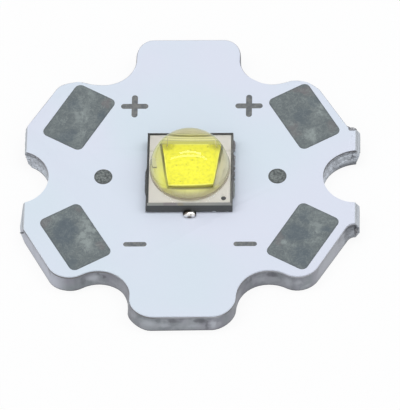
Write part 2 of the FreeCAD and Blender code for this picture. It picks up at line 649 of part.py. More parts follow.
def lens_blank(build):
    """The silicone as moulded: a square flange and a dome, before what it is cast round is left out."""
    name = "lens_blank"
    body = build.body(name, z=CERAMIC_TOP)
    flange = build.sketch(body, name + "_flange_outline")
    build.box_outline(flange, "-" + HALF_PACKAGE, HALF_PACKAGE, "-" + HALF_PACKAGE, HALF_PACKAGE)
    build.pad(body, flange, name + "_flange", "Sizes.plating_thickness + Sizes.flange_thickness")
    base = "(Sizes.plating_thickness + Sizes.flange_thickness)"
    level = build.worth(base)
    radius = build.worth(DOME_RADIUS)
    spring = level + build.worth("Sizes.dome_skirt")
    half = build.sketch(body, name + "_half_dome", "XZ_Plane")
    corners = (Vector(0, spring + radius, 0), Vector(0, level, 0), Vector(radius, level, 0),
               Vector(radius, spring, 0))
    for start, end in zip(corners, corners[1:]):
        half.addGeometry(Part.LineSegment(start, end), False)
    cap = Part.Circle(Vector(0, spring, 0), Vector(0, 0, 1), radius)
    half.addGeometry(Part.ArcOfCircle(cap, 0, math.pi / 2), False)
    half.addConstraint(Sketcher.Constraint("Coincident", 0, 2, 1, 1))
    half.addConstraint(Sketcher.Constraint("Coincident", 1, 2, 2, 1))
    half.addConstraint(Sketcher.Constraint("Tangent", 2, 2, 3, 1))
    half.addConstraint(Sketcher.Constraint("Coincident", 3, 2, 0, 1))
    half.addConstraint(Sketcher.Constraint("PointOnObject", 0, 1, -2))
    half.addConstraint(Sketcher.Constraint("PointOnObject", 0, 2, -2))
    half.addConstraint(Sketcher.Constraint("PointOnObject", 3, 3, -2))
    half.addConstraint(Sketcher.Constraint("Horizontal", 1))
    half.addConstraint(Sketcher.Constraint("Vertical", 2))
    build.hold(half, base, "DistanceY", -1, 1, 0, 2)
    build.hold(half, base + " + Sizes.dome_skirt", "DistanceY", -1, 1, 3, 3)
    build.hold(half, DOME_RADIUS, "Radius", 3)
    dome = body.newObject("PartDesign::Revolution", name + "_dome")
    dome.Profile = half
    dome.ReferenceAxis = (build.origin(body, "Z_Axis"), [""])
    dome.Angle = 360
    build.doc.recompute()
    around = 2 * math.pi * radius
    foot = ["Edge%d" % index for index, edge in enumerate(body.Tip.Shape.Edges, start=1)
            if abs(edge.Length - around) < TOUCH and abs(edge.CenterOfMass.z - level) < TOUCH]
    fillet = body.newObject("PartDesign::Fillet", name + "_foot")
    fillet.Base = (dome, foot)
    fillet.setExpression("Radius", "Sizes.dome_foot_radius")
    return body


def build_board(build):
    """The core, the insulation, the copper and what is tinned on it."""
    build.keep("aluminium_base", routed_plate(build, "aluminium_base", "0", "Sizes.aluminium_thickness"))
    build.keep("dielectric_layer",
               routed_plate(build, "dielectric_layer", ALUMINIUM_TOP, "Sizes.dielectric_thickness"))
    under_mask = []
    for keep in ("positive", "thermal", "negative"):
        under_mask.append(copper_area(build, "copper_" + keep, keep))
    for side, right in (("left", -1), ("right", 1)):
        under_mask.append(wire_pad(build, "wire_pad_positive_" + side, right, 1))
        under_mask.append(wire_pad(build, "wire_pad_negative_" + side, right, -1))
        under_mask.append(fiducial(build, "fiducial_" + side, right))
        under_mask.append(polarity_mark(build, "plus_mark_" + side, "plus", right, 1))
        under_mask.append(polarity_mark(build, "minus_mark_" + side, "minus", right, -1))
    return under_mask


def build_joints(build):
    """The solder that holds the package."""
    strip_in = HALF_THERMAL + " + Sizes.contact_gap"
    anode = solder_joint(build, "anode_solder_joint", strip_in, HALF_CONTACT)
    thermal = solder_joint(build, "thermal_solder_joint", "-" + HALF_THERMAL, HALF_THERMAL)
    cathode = solder_joint(build, "cathode_solder_joint", "-" + HALF_CONTACT, "-(" + strip_in + ")")
    add_bead(build, cathode)
    return [anode, thermal, cathode]


def build_mask(build, under_mask):
    """White mask from the insulation up, round the copper and open over everything tinned."""
    thickness = "Sizes.copper_thickness + Sizes.mask_thickness"
    blank = routed_plate(build, "mask_blank", DIELECTRIC_TOP, thickness)
    build.keep("solder_mask", build.join("solder_mask", blank, under_mask))


def build_package(build):
    """The LED: contacts, ceramic, plating, chip, wires and silicone."""
    strip_in = HALF_THERMAL + " + Sizes.contact_gap"
    package_contact(build, "anode_contact", strip_in, HALF_CONTACT, STRIP_CENTRE)
    package_contact(build, "thermal_contact", "-" + HALF_THERMAL, HALF_THERMAL)
    package_contact(build, "cathode_contact", "-" + HALF_CONTACT, "-(" + strip_in + ")", "-" + STRIP_CENTRE)
    ceramic_substrate(build)
    inside = [cathode_plating(build), anode_land(build)]
    inside.append(chip_layer(build, "die_attach", PLATING_TOP, "Sizes.die_attach_thickness"))
    inside.append(chip_layer(build, "led_die", DIE_BOTTOM, "Sizes.die_thickness"))
    phosphor = chip_layer(build, "phosphor_layer", DIE_TOP, "Sizes.phosphor_thickness")
    open_bond_corners(build, phosphor, "phosphor_layer")
    inside.append(phosphor)
    inside.append(bond_wire(build, "bond_wire_left", -1))
    inside.append(bond_wire(build, "bond_wire_right", 1))
    inside.append(protection_diode(build))
    build.keep("silicone_lens", build.join("silicone_lens", lens_blank(build), inside))


def check_document(build):
    """Stop if anything failed, if a cut took nothing away or if a sub-part isn't one sound solid."""
    for item in build.doc.Objects:
        if "Invalid" in item.State or "Error" in item.State:
            raise RuntimeError("%s failed: %s" % (item.Name, item.State))
        if item.TypeId == "PartDesign::Pocket":
            before = item.BaseFeature.Shape.Volume
            if before - item.Shape.Volume < TOUCH:
                raise RuntimeError("%s cuts nothing" % item.Name)
    for name, item in build.parts.items():
        shape = item.Shape
        if shape.isNull() or not shape.isValid() or len(shape.Solids) != 1:
            raise RuntimeError("%s isn't one sound solid" % name)


def main():
    doc = FreeCAD.newDocument("StarBoard")
    build = Builder(doc, size_sheet(doc))
    under_mask = build_board(build)
    under_mask += build_joints(build)
    build_mask(build, under_mask)
    build_package(build)
    doc.recompute()
    check_document(build)
    os.makedirs("parts", exist_ok=True)
    for name, item in build.parts.items():
        item.Shape.exportStep("parts/%s.step" % name)
        box = item.Shape.BoundBox
        print("%-26s %9.4f mm3  x %7.3f %7.3f  y %7.3f %7.3f  z %6.3f %6.3f" % (
            name, item.Shape.Volume, box.XMin, box.XMax, box.YMin, box.YMax, box.ZMin, box.ZMax))


main()
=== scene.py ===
"""Dresses a star-shaped metal-core board and its domed power LED: finishes, light and camera.

Lengths are in metres, except in the materials and where a comment says millimetres. The axes are the
frame's: X to the snapped end on the right, Y to the plus marks and Z up through the dome, with the
board's bottom face at Z 0.
"""
import math

import bmesh
import bpy
from bpy.props import FloatProperty, FloatVectorProperty, IntProperty, PointerProperty
from bpy.types import Operator, Panel, PropertyGroup
from mathutils import Matrix, Vector, noise


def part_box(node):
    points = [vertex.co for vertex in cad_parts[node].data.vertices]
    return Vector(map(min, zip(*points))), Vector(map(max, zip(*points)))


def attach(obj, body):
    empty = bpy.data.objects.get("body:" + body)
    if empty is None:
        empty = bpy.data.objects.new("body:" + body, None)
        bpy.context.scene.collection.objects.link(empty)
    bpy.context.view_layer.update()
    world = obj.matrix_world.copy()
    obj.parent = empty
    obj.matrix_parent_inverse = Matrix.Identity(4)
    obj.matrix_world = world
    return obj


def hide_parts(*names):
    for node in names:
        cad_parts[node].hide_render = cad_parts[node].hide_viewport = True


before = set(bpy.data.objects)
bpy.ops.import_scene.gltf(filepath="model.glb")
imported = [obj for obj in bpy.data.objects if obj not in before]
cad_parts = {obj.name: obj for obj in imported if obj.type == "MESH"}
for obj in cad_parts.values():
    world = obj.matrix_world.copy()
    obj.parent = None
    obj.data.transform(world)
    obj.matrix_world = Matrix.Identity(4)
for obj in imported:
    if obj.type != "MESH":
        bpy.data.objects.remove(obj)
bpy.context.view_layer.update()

bl_info = {
    "name": "Star board LED",
    "version": (1, 0, 0),
    "blender": (4, 5, 0),
    "location": "View3D > Sidebar > Star Board",
    "description": "Finishes a star-shaped metal-core board with one domed power LED",
    "category": "Object",
}

MM = 0.001
MERGE = 0.0005 * MM
ROOT = "root"
SIDES = ("left", "right")
PHOTO_SIZE = (400, 410)

CORE_LOW, CORE_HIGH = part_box("aluminium_base")
BOARD_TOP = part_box("solder_mask")[1].z
CERAMIC_LOW, CERAMIC_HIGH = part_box("ceramic_substrate")
DIE_LOW, DIE_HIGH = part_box("led_die")
JOINT_LOW, JOINT_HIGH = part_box("cathode_solder_joint")

# The same places in millimetres, as the materials read them.
CORE_FRONT, CORE_TOP = CORE_LOW.y / MM, CORE_HIGH.z / MM
INK_TOP = BOARD_TOP / MM
CERAMIC_FOOT, CERAMIC_TOP, CERAMIC_SIDE = CERAMIC_LOW.z / MM, CERAMIC_HIGH.z / MM, CERAMIC_HIGH.y / MM
LENS_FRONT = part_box("silicone_lens")[0].y / MM
DIE_FRONT, DIE_BACK = DIE_LOW.y / MM, DIE_HIGH.y / MM
DIE_RIGHT, DIE_TOP = DIE_HIGH.x / MM, DIE_HIGH.z / MM
DIE_MIDDLE = (DIE_LOW + DIE_HIGH) / (2 * MM)
DIE_HALF = (DIE_HIGH.x - DIE_LOW.x) / (2 * MM)
SCORE_EDGE = 9.625
SEAM_LINE = 1.44
# The star's middle lies this far to the left of the pattern's, and the front screw notches' middles lie this
# far to either side of it and in front.
STAR_SHIFT = 0.27
NOTCH_OFF = (4.95, 8.574)

# Clouds on the tinned pads, in millimetres: X, Y, the reach both ways and the strength.
PALE_CLOUDS = (
    (-6.42, 4.60, 0.73, 0.99, 0.7), (-6.05, 5.95, 0.55, 0.70, 0.5), (-6.55, 3.20, 0.50, 0.90, 0.6),
    (7.42, 4.66, 0.66, 1.08, 1.0), (7.01, 3.02, 0.58, 0.63, 0.9), (-5.99, -4.14, 0.66, 1.44, 1.0),
    (-7.53, -2.88, 0.66, 0.45, 0.6), (5.67, -4.84, 0.28, 0.75, 0.9), (7.35, -3.70, 0.50, 0.60, 0.7),
    (7.19, -4.47, 0.58, 0.54, 0.6), (7.30, -2.52, 0.66, 0.54, 0.5),
)
BLUE_CLOUDS = (
    (-6.92, 5.14, 0.36, 0.45, 0.5), (-5.24, 4.33, 0.36, 0.54, 0.8), (-7.29, 2.83, 0.66, 0.54, 0.6),
    (6.46, 4.27, 0.45, 0.75, 0.5), (7.31, 5.53, 0.36, 0.54, 0.5), (-7.20, -4.07, 0.70, 1.45, 0.8),
    (-6.88, -6.33, 0.36, 0.54, 0.6), (6.29, -4.13, 1.00, 0.63, 0.7), (6.70, -2.97, 0.44, 0.45, 0.5),
    (6.62, -5.69, 0.70, 0.85, 0.7), (7.92, -3.76, 0.44, 0.36, 0.7),
)
WARM_CLOUDS = (
    (-4.95, 5.39, 0.36, 0.36, 0.9), (5.99, 3.35, 0.44, 0.81, 0.7), (6.55, 6.19, 0.73, 0.45, 0.9),
    (8.39, 3.60, 0.44, 0.63, 0.7), (-6.52, -2.20, 0.51, 0.27, 0.6), (-8.39, -3.29, 0.36, 0.45, 0.7),
    (-5.12, -4.99, 0.29, 0.45, 0.8), (5.19, -4.39, 0.36, 0.72, 0.7),
)

# Stains and pale wiped spots on the front edge and on the front notches' walls, in millimetres: X, the
# height, the reach both ways and the strength.
FRONT_STAINS = (
    (-1.70, 1.02, 0.28, 0.36, 0.55), (-0.82, 0.98, 0.52, 0.42, 0.80), (0.74, 1.00, 0.58, 0.40, 0.95),
    (1.10, 0.60, 0.13, 1.10, 0.65), (-0.30, 1.22, 1.60, 0.16, 0.50),
)
FRONT_SPOTS = (
    (1.46, 0.62, 0.30, 0.60, 0.80), (-1.35, 0.55, 0.45, 0.32, 0.50), (-2.30, 0.75, 0.65, 0.50, 0.45),
    (0.30, 0.45, 0.50, 0.25, 0.40),
)
NOTCH_STAINS = (
    (-6.12, 0.75, 0.26, 1.00, 0.60), (-5.22, 1.12, 0.20, 0.18, 0.85), (-4.90, 0.85, 0.18, 0.28, 0.90),
    (-4.25, 0.90, 0.50, 0.55, 0.40), (4.85, 1.00, 0.62, 0.42, 0.95), (3.60, 0.95, 0.18, 0.42, 0.75),
    (4.20, 1.15, 0.60, 0.22, 0.55), (5.35, 0.70, 0.18, 0.70, 0.45),
)
NOTCH_SPOTS = (
    (-5.55, 0.75, 0.50, 0.40, 0.80), (4.10, 0.60, 0.50, 0.38, 0.40), (5.75, 0.70, 0.32, 0.55, 0.50),
)

# Where the router left the pattern, in millimetres: X, Y, the reach and the shift along X and Y.
EDGE_SHIFTS = (
    (-7.25, 6.80, 1.90, 0.00, -0.27), (7.05, 6.80, 1.90, 0.00, -0.27), (-2.60, 9.30, 1.30, -0.07, 0.13),
    (2.20, 9.30, 1.30, 0.11, 0.13), (2.10, -9.30, 1.40, -0.03, 0.05), (-3.35, -9.15, 1.20, -0.07, 0.00),
    (8.75, 1.50, 1.80, 0.02, -0.08), (-8.20, -6.20, 1.60, -0.035, -0.045), (-7.90, 7.10, 1.00, -0.05, 0.06),
    (8.15, 6.30, 1.10, 0.05, 0.06),
)
# These move only the core's foot, up to this height, because the wall leans there.
FOOT_HEIGHT = 0.1
FOOT_SHIFTS = (
    (5.10, -6.80, 2.40, 0.00, -0.06), (8.70, -4.60, 1.70, 0.08, -0.09), (-7.90, -6.40, 1.20, -0.02, -0.03),
    (2.10, -9.30, 1.40, -0.05, 0.05), (-3.45, -8.50, 1.60, -0.16, 0.00), (-2.55, -9.80, 0.90, 0.00, -0.05),
)

# The four wire pads, in axes turned with them: each one's middle and half its size in millimetres. What is
# nearer to a pad than the margin belongs to its opening, and the routed outline lies outside the last radius.
PAD_TURN = math.radians(30)
PAD_MIDDLE = (7.875, 0.430)
PAD_HALF = (1.335, 2.090)
PAD_MARGIN = 0.10
OUTLINE_START = 7.9

# The end notches' walls, in millimetres: they start between the first two along X and end between the
# second two along Y.
NOTCH_X = (7.2, 7.7)
NOTCH_Y = (2.05, 1.85)

# The snapped webs at the two ends: where they start along X, their lowest and highest middles, the cuts
# across each and the size of their grain.
WEB_X = 9.6 * MM
WEB_LOW, WEB_HIGH = 0.3 * MM, 1.1 * MM
WEB_CUTS = 23
WEB_GRAIN = 0.16 * MM

# Where a piece broke out of an end beside a notch: the end's sign along X, the share of the break that
# reaches the foot, and its depth in millimetres. Then where both start along X, and their end along Y and top.
BREAKS = ((1, 0.0, 0.25), (-1, 1.0, 0.20))
BREAK_X, BREAK_Y, BREAK_TOP = 9.58, 2.3, 1.15

# Torn lumps at the snapped ends: the name, the middle and half the size in millimetres, and the seed.
BURRS = (
    ("left_front", (-9.76, -3.66, 0.98), (0.11, 0.035, 0.06), 3.0),
    ("right_front", (9.68, -3.50, 0.80), (0.10, 0.24, 0.24), 11.0),
    ("right_back", (9.39, 3.37, 1.40), (0.26, 0.14, 0.085), 23.0),
    ("right_edge", (9.10, 3.55, 1.36), (0.20, 0.07, 0.07), 41.0),
    ("right_notch", (9.58, 1.87, 1.28), (0.14, 0.07, 0.05), 31.0),
)

# The snapped teeth on the package's right side: each one's two ends along Y in millimetres. Then the cuts
# along each of the ceramic's edges.
TEETH = ((1.61, 2.24), (0.99, 1.25), (0.56, 0.92), (0.24, 0.49), (-0.23, 0.09), (-0.56, -0.38), (-1.71, -0.65))
CERAMIC_CUTS = 71

# Facets along the dome's profile, in the round at its foot and above it.
FOOT_FACETS = 6
DOME_FACETS = 40

# The strip lamps in metres: the name, X, Y, the length and the glow. Then their height and width.
STRIPS = (("strip_back", 0.035, 0.088, 0.56, 1.0), ("strip_front", 0.0, -0.012, 1.30, 0.75))
STRIP_HEIGHT, STRIP_WIDTH = 0.5, 0.060


def colour(name, description, default):
    """A colour that a user may change."""
    return FloatVectorProperty(name=name, description=description, subtype="COLOR", size=3, min=0.0, max=1.0,
                               default=default)


def length(name, description, default):
    """A length that a user may change, given in millimetres."""
    return FloatProperty(name=name, description=description, unit="LENGTH", default=default * MM)


def angle(name, description, default):
    """An angle that a user may change, given in degrees."""
    return FloatProperty(name=name, description=description, subtype="ANGLE", unit="ROTATION",
                         default=math.radians(default))


def share(name, description, default):
    """A plain number that a user may change."""
    return FloatProperty(name=name, description=description, default=default)


class BoardSettings(PropertyGroup):
    """The board's finish and the wear on its edge."""
    ink: colour("White ink", "Solder mask where it is neutral", (0.725, 0.785, 0.885))
    ink_lavender: colour("Lavender ink", "Solder mask's faint warm patches", (0.745, 0.775, 0.890))
    ink_cyan: colour("Cyan ink", "Solder mask's faint cool patches", (0.695, 0.790, 0.865))
    insulation: colour("Insulation", "Thin layer between the metal and the copper", (0.125, 0.120, 0.124))
    copper: colour("Copper", "Copper under the mask", (0.72, 0.42, 0.27))
    worn_ink: colour("Worn ink", "Thin dark line along the mask's routed edge", (0.29, 0.28, 0.30))
    cut_metal: colour("Cut metal", "Smooth flank of the score line", (0.54, 0.575, 0.62))
    metal_purple: colour("Purple metal", "Routed edge, purplish smears", (0.255, 0.258, 0.298))
    metal_green: colour("Green metal", "Routed edge, greenish smears", (0.232, 0.258, 0.276))
    # Besides lighter smears, this colour carries painted light on the straight front walls.
    metal_pale: colour("Pale metal", "Routed edge, lighter smears", (0.46, 0.48, 0.52))
    # Besides stains, this colour carries painted shade in the front notches' hollows and at the front's middle.
    metal_stain_and_shade: colour("Stained metal", "Routed edge, dark stains", (0.085, 0.090, 0.105))
    metal_bright: colour("Bare metal", "Underside and torn edges", (0.56, 0.56, 0.58))
    tin: colour("Tin", "Tinned pads where they are neutral", (0.148, 0.171, 0.175))
    tin_pale: colour("Pale tin", "Pads' lighter clouds", (0.250, 0.284, 0.282))
    tin_blue: colour("Blue tin", "Pads' bluish clouds", (0.080, 0.103, 0.125))
    tin_warm: colour("Warm tin", "Pads' brownish clouds", (0.158, 0.148, 0.153))
    rim_ease: length("Rim easing", "Worn corner along the board's bottom edge", 0.018)
    ink_ease: length("Ink easing", "Round at the mask's openings", 0.016)
    outline_ease: length("Outline easing", "Round at the mask's outer edge", 0.040)
    tear_depth: length("Tear depth", "Roughness of the snapped webs", 0.03)
    mask_inset: length("Mask inset", "How far the mask stays behind the routed edge at the back", 0.018)
    minus_trim: length("Minus trim", "How much shorter the minus marks are at their left ends", 0.145)


class PackageSettings(PropertyGroup):
    """The LED package's finish."""
    ceramic: colour("Ceramic", "Dark ceramic", (0.049, 0.052, 0.051))
    ceramic_pale: colour("Chipped ceramic", "Ceramic's lighter chips and dust", (0.27, 0.25, 0.26))
    plating: colour("Plating", "Cream plating under the flange", (0.93, 0.905, 0.85))
    plating_shade: colour("Shaded plating", "Beige plating under the dome", (0.66, 0.63, 0.46))
    plating_yellow: colour("Yellow plating", "Plating dusted with the chip's yellow", (0.83, 0.84, 0.14))
    seam: colour("Seam", "Dusty gap between the platings", (0.50, 0.46, 0.14))
    # The dark margin round the chip is partly its gap and die attach, partly painted shade.
    plating_olive: colour("Olive plating", "Dark margin round the chip", (0.175, 0.165, 0.022))
    phosphor: colour("Phosphor", "Yellow layer on the chip", (0.90, 0.87, 0.050))
    chip_side: colour("Chip side", "Chip's dark edge", (0.225, 0.215, 0.020))
    gold: colour("Gold", "Contacts under the package", (0.90, 0.68, 0.32))
    wire: colour("Wire", "Bond wires", (0.72, 0.68, 0.36))
    solder: colour("Solder", "Bright solder", (0.82, 0.81, 0.80))
    front_flare: length("Front flare", "Package's front foot out of its side", 0.10)
    left_flare: length("Left flare", "Package's left foot out of its side", 0.07)
    right_tooth: length("Right teeth", "Snapped teeth out of the package's right side", 0.13)
    left_bulge: length("Left bulge", "Bulge out of the package's left side", 0.13)
    wire_radius: length("Wire radius", "Bond wires", 0.015)


class LensSettings(PropertyGroup):
    """The silicone's form and finish."""
    clear: colour("Silicone", "Clear silicone's own tint", (0.995, 0.995, 0.980))
    sawn_front: colour("Sawn front", "Silicone's sawn side at the front", (0.445, 0.440, 0.385))
    sawn_dark: colour("Sawn sides", "Silicone's other sawn sides", (0.095, 0.098, 0.096))
    # A brownish line at the dome's foot, darker at the front.
    foot_shade: colour("Foot", "Dusty line where the dome meets the flange", (0.58, 0.525, 0.42))
    refraction: share("Refraction", "Silicone's refractive index", 1.41)
    dome_radius: length("Dome radius", "Half sphere", 2.31)
    skirt: length("Skirt", "Upright part under the half sphere", 0.05)
    foot: length("Foot", "Round where the dome meets the flange", 0.06)
    flange_top: length("Flange top", "Flange above the ceramic", 0.29)
    steps: IntProperty(name="Steps", description="Facets round the dome", default=160, min=16)


class StudioSettings(PropertyGroup):
    """Camera, lamps and floor."""
    aim: FloatVectorProperty(name="Aim", description="Point at the picture's middle", subtype="TRANSLATION",
                             unit="LENGTH", default=(0.602 * MM, -2.052 * MM, 1.45 * MM))
    azimuth: angle("Azimuth", "Camera to the right of the front", 3.479)
    elevation: angle("Elevation", "Camera above the horizon", 54.279)
    roll: angle("Roll", "Camera turned about its own line of sight", -3.048)
    distance: length("Distance", "Camera to the aim", 484.93)
    focal_pixels: share("Focal length in pixels", "At the photograph's size", 8337.5)
    sky_even: share("Even sky", "Strength of the light from all sides", 0.30)
    sky_high: share("High sky", "Strength of the soft light from above the front", 0.60)
    strip_glow: share("Strip glow", "How bright the strip lamps look", 6.0)
    white: share("White", "Brightness of the white surroundings", 1.0)
    floor: colour("Floor", "Pale floor", (0.96, 0.96, 0.965))


class StarBoardSettings(PropertyGroup):
    """Every setting of the scene."""
    board: PointerProperty(type=BoardSettings)
    package: PointerProperty(type=PackageSettings)
    lens: PointerProperty(type=LensSettings)
    studio: PointerProperty(type=StudioSettings)


def maths(operation, turned=False):
    """A method that adds a Math node on a value and others, which come first if it is turned."""
    def method(self, *others):
        values = (*others, self) if turned else (self, *others)
        return self.graph.node("Math", {"operation": operation}, dict(enumerate(values)))
    return method


class Value:
    """A node's output that takes Python's arithmetic, which adds Math nodes."""
    __add__ = maths("ADD")
    __radd__ = maths("ADD", turned=True)
    __sub__ = maths("SUBTRACT")
    __rsub__ = maths("SUBTRACT", turned=True)
    __mul__ = maths("MULTIPLY")
    __rmul__ = maths("MULTIPLY", turned=True)
    __truediv__ = maths("DIVIDE")
    __rtruediv__ = maths("DIVIDE", turned=True)
    __pow__ = maths("POWER")
    __rpow__ = maths("POWER", turned=True)
    __abs__ = maths("ABSOLUTE")
    larger = maths("MAXIMUM")
    smaller = maths("MINIMUM")

    def __init__(self, graph, socket):
        self.graph = graph
        self.socket = socket

    def out(self, name):
        """Another output of the same node."""
        return Value(self.graph, find_socket(self.socket.node.outputs, name))


def find_socket(sockets, key):
    """The socket in use with this name, at this place or, with no key, the first."""
    if isinstance(key, int):
        return sockets[key]
    return next((item for item in sockets if item.enabled and key in (None, item.name)), None)


class Graph:
    """The node tree of a material or of the world."""

    def __init__(self, owner):
        owner.use_nodes = True
        self.owner = owner
        self.tree = owner.node_tree
        self.tree.nodes.clear()

    def node(self, kind, settings, sockets, output=None):
        """Add a node, make its settings, then fill its sockets with values or links."""
        node = self.tree.nodes.new("ShaderNode" + kind)
        for name, value in settings.items():
            setattr(node, name, value)
        for key, value in sockets.items():
            socket = find_socket(node.inputs, key)
            if isinstance(value, Value):
                self.tree.links.new(value.socket, socket)
            elif socket.type == "RGBA" and len(value) == 3:
                socket.default_value = (*value, 1.0)
            else:
                socket.default_value = value
        return Value(self, find_socket(node.outputs, output))

    def place(self, stretch=(1.0, 1.0, 1.0), shift=0.0):
        """The piece's own coordinates in millimetres, stretched and then shifted."""
        coordinates = self.node("TexCoord", {}, {}, "Object")
        scale = [axis / MM for axis in stretch]
        where = self.node("VectorMath", {"operation": "MULTIPLY"}, {0: coordinates, 1: scale})
        if shift:
            where = self.node("VectorMath", {"operation": "ADD"}, {0: where, 1: (shift, shift, shift)})
        return where

    def axes(self, letters="XYZ"):
        """X, Y and Z in millimetres, or those of them that are asked for."""
        parts = self.node("SeparateXYZ", {}, {0: self.place()})
        return [parts.out(axis) for axis in letters]

    def noise(self, scale, detail=3.0, roughness=0.5, distortion=0.0, stretch=(1.0, 1.0, 1.0), shift=0.0):
        """Soft noise from 0 to 1 with so many features in a millimetre."""
        return self.node("TexNoise", {}, {"Vector": self.place(stretch, shift), "Scale": scale, "Detail": detail,
                                          "Roughness": roughness, "Distortion": distortion}, "Fac")

    def spots(self, scale, radius, shift):
        """1 inside small scattered spots, whose cells have this scale and whose radius is a share of a cell."""
        off = self.node("TexVoronoi", {}, {"Vector": self.place(shift=shift), "Scale": scale}, "Distance")
        return step(off, radius, radius * 0.5)

    def surface(self, **sockets):
        """End the tree in a Principled shader, whose sockets' names are written with underscores."""
        named = {name.replace("_", " "): value for name, value in sockets.items()}
        self.node("OutputMaterial", {}, {"Surface": self.node("BsdfPrincipled", {}, named)})
        return self.owner


def new_graph(name):
    """The graph of a new material."""
    return Graph(bpy.data.materials.new(name))


def hypot(first, second):
    """How far off a point is, from its two offsets."""
    return (first * first + second * second) ** 0.5


def step(value, start, end):
    """A smooth step from 0 at start to 1 at end, which may lie either way."""
    return value.graph.node("MapRange", {"interpolation_type": "SMOOTHSTEP"},
                            {"Value": value, "From Min": start, "From Max": end})


def between(value, low, high, soft):
    """1 where a value lies between two others, with soft borders."""
    return step(value, low - soft, low + soft) * step(value, high + soft, high - soft)


def stain(first, second, centre, reach):
    """A soft round stain, from two coordinates, its centre and its reach both ways."""
    return step(hypot((first - centre[0]) / reach[0], (second - centre[1]) / reach[1]), 1.0, 0.25)


def stains(first, second, places, spread=1.0):
    """The strongest of several stains at a point."""
    most = None
    for here, there, right, back, depth in places:
        cloud = stain(first, second, (here, there), (right * spread, back * spread)) * depth
        most = cloud if most is None else most.larger(cloud)
    return most


def blend(factor, first, second):
    """Mix two colours by a value."""
    return factor.graph.node("Mix", {"data_type": "RGBA", "blend_type": "MIX"},
                             {"Factor": factor, "A": first, "B": second})


def layered(tone, *layers):
    """A colour with others laid over it in turn, each by its own factor."""
    for factor, colour_over in layers:
        tone = blend(factor, tone, colour_over)
    return tone


def bump(height, depth):
    """A normal from a height that runs from 0 to 1, so many millimetres deep."""
    return height.graph.node("Bump", {}, {"Height": height, "Distance": depth * MM, "Strength": 1.0})


def pad_offsets(x, y):
    """How far a point is from the nearest wire pad's middle, across and along the pad, in millimetres."""
    across = abs(x) * math.cos(PAD_TURN) + abs(y) * math.sin(PAD_TURN) - PAD_MIDDLE[0]
    along = abs(y) * math.cos(PAD_TURN) - abs(x) * math.sin(PAD_TURN) - PAD_MIDDLE[1]
    return across, along


def dress(names, material):
    """Give CAD nodes a finish."""
    for name in names:
        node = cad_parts[name]
        if not node.material_slots:
            node.data.materials.append(material)
        for slot in node.material_slots:
            slot.material = material


def add_piece(name, shape, materials, replaced=(), sharp=None):
    """Turn a finished bmesh into a piece that rides on the board, smooth under a sharp angle in degrees."""
    mesh = bpy.data.meshes.new(name)
    shape.to_mesh(mesh)
    shape.free()
    for material in materials:
        mesh.materials.append(material)
    piece = bpy.data.objects.new(name, mesh)
    bpy.context.scene.collection.objects.link(piece)
    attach(piece, ROOT)
    if replaced:
        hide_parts(*replaced)
    if sharp:
        mesh.shade_smooth()
        mesh.set_sharp_from_angle(angle=math.radians(sharp))
    return piece


def merged_copy(node):
    """A bmesh of a CAD node with its triangles joined and its flat faces made whole."""
    shape = bmesh.new()
    shape.from_mesh(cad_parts[node].data)
    bmesh.ops.remove_doubles(shape, verts=shape.verts, dist=MERGE)
    bmesh.ops.dissolve_limit(shape, angle_limit=math.radians(0.5), verts=shape.verts, edges=shape.edges)
    return shape


def corner_edges(shape, wanted):
    """The sharp edges whose two ends are both wanted."""
    sharp = math.radians(50)
    return [edge for edge in shape.edges
            if len(edge.link_faces) == 2 and edge.calc_face_angle() > sharp and all(wanted(v.co) for v in edge.verts)]


def ease(shape, edges, offset, clamped=True):
    """Round a set of edges."""
    bmesh.ops.bevel(shape, geom=edges, affect="EDGES", offset=offset, offset_type="OFFSET", segments=2,
                    profile=0.5, material=-1, clamp_overlap=clamped)


def block(shape, low, high, cuts=0):
    """Add a box between two corners, cut into a grid."""
    made = bmesh.ops.create_cube(shape, size=1.0)
    place = Matrix.Translation((low + high) / 2) @ Matrix.Diagonal((*(high - low), 1.0))
    bmesh.ops.transform(shape, matrix=place, verts=made["verts"])
    if cuts:
        edges = {edge for vert in made["verts"] for edge in vert.link_edges}
        bmesh.ops.subdivide_edges(shape, edges=list(edges), cuts=cuts, use_grid_fill=True)


def smooth_window(value, low, high, soft):
    """1 between two values, falling to 0 outside them over a soft border."""
    inside = min(value - low, high - value) / soft
    part = min(1.0, max(0.0, 0.5 + 0.5 * inside))
    return part * part * (3.0 - 2.0 * part)


def apply_modifiers(piece):
    """Make a piece's modified mesh its own."""
    evaluated = piece.evaluated_get(bpy.context.evaluated_depsgraph_get())
    mesh = bpy.data.meshes.new_from_object(evaluated)
    old = piece.data
    piece.modifiers.clear()
    piece.data = mesh
    bpy.data.meshes.remove(old)


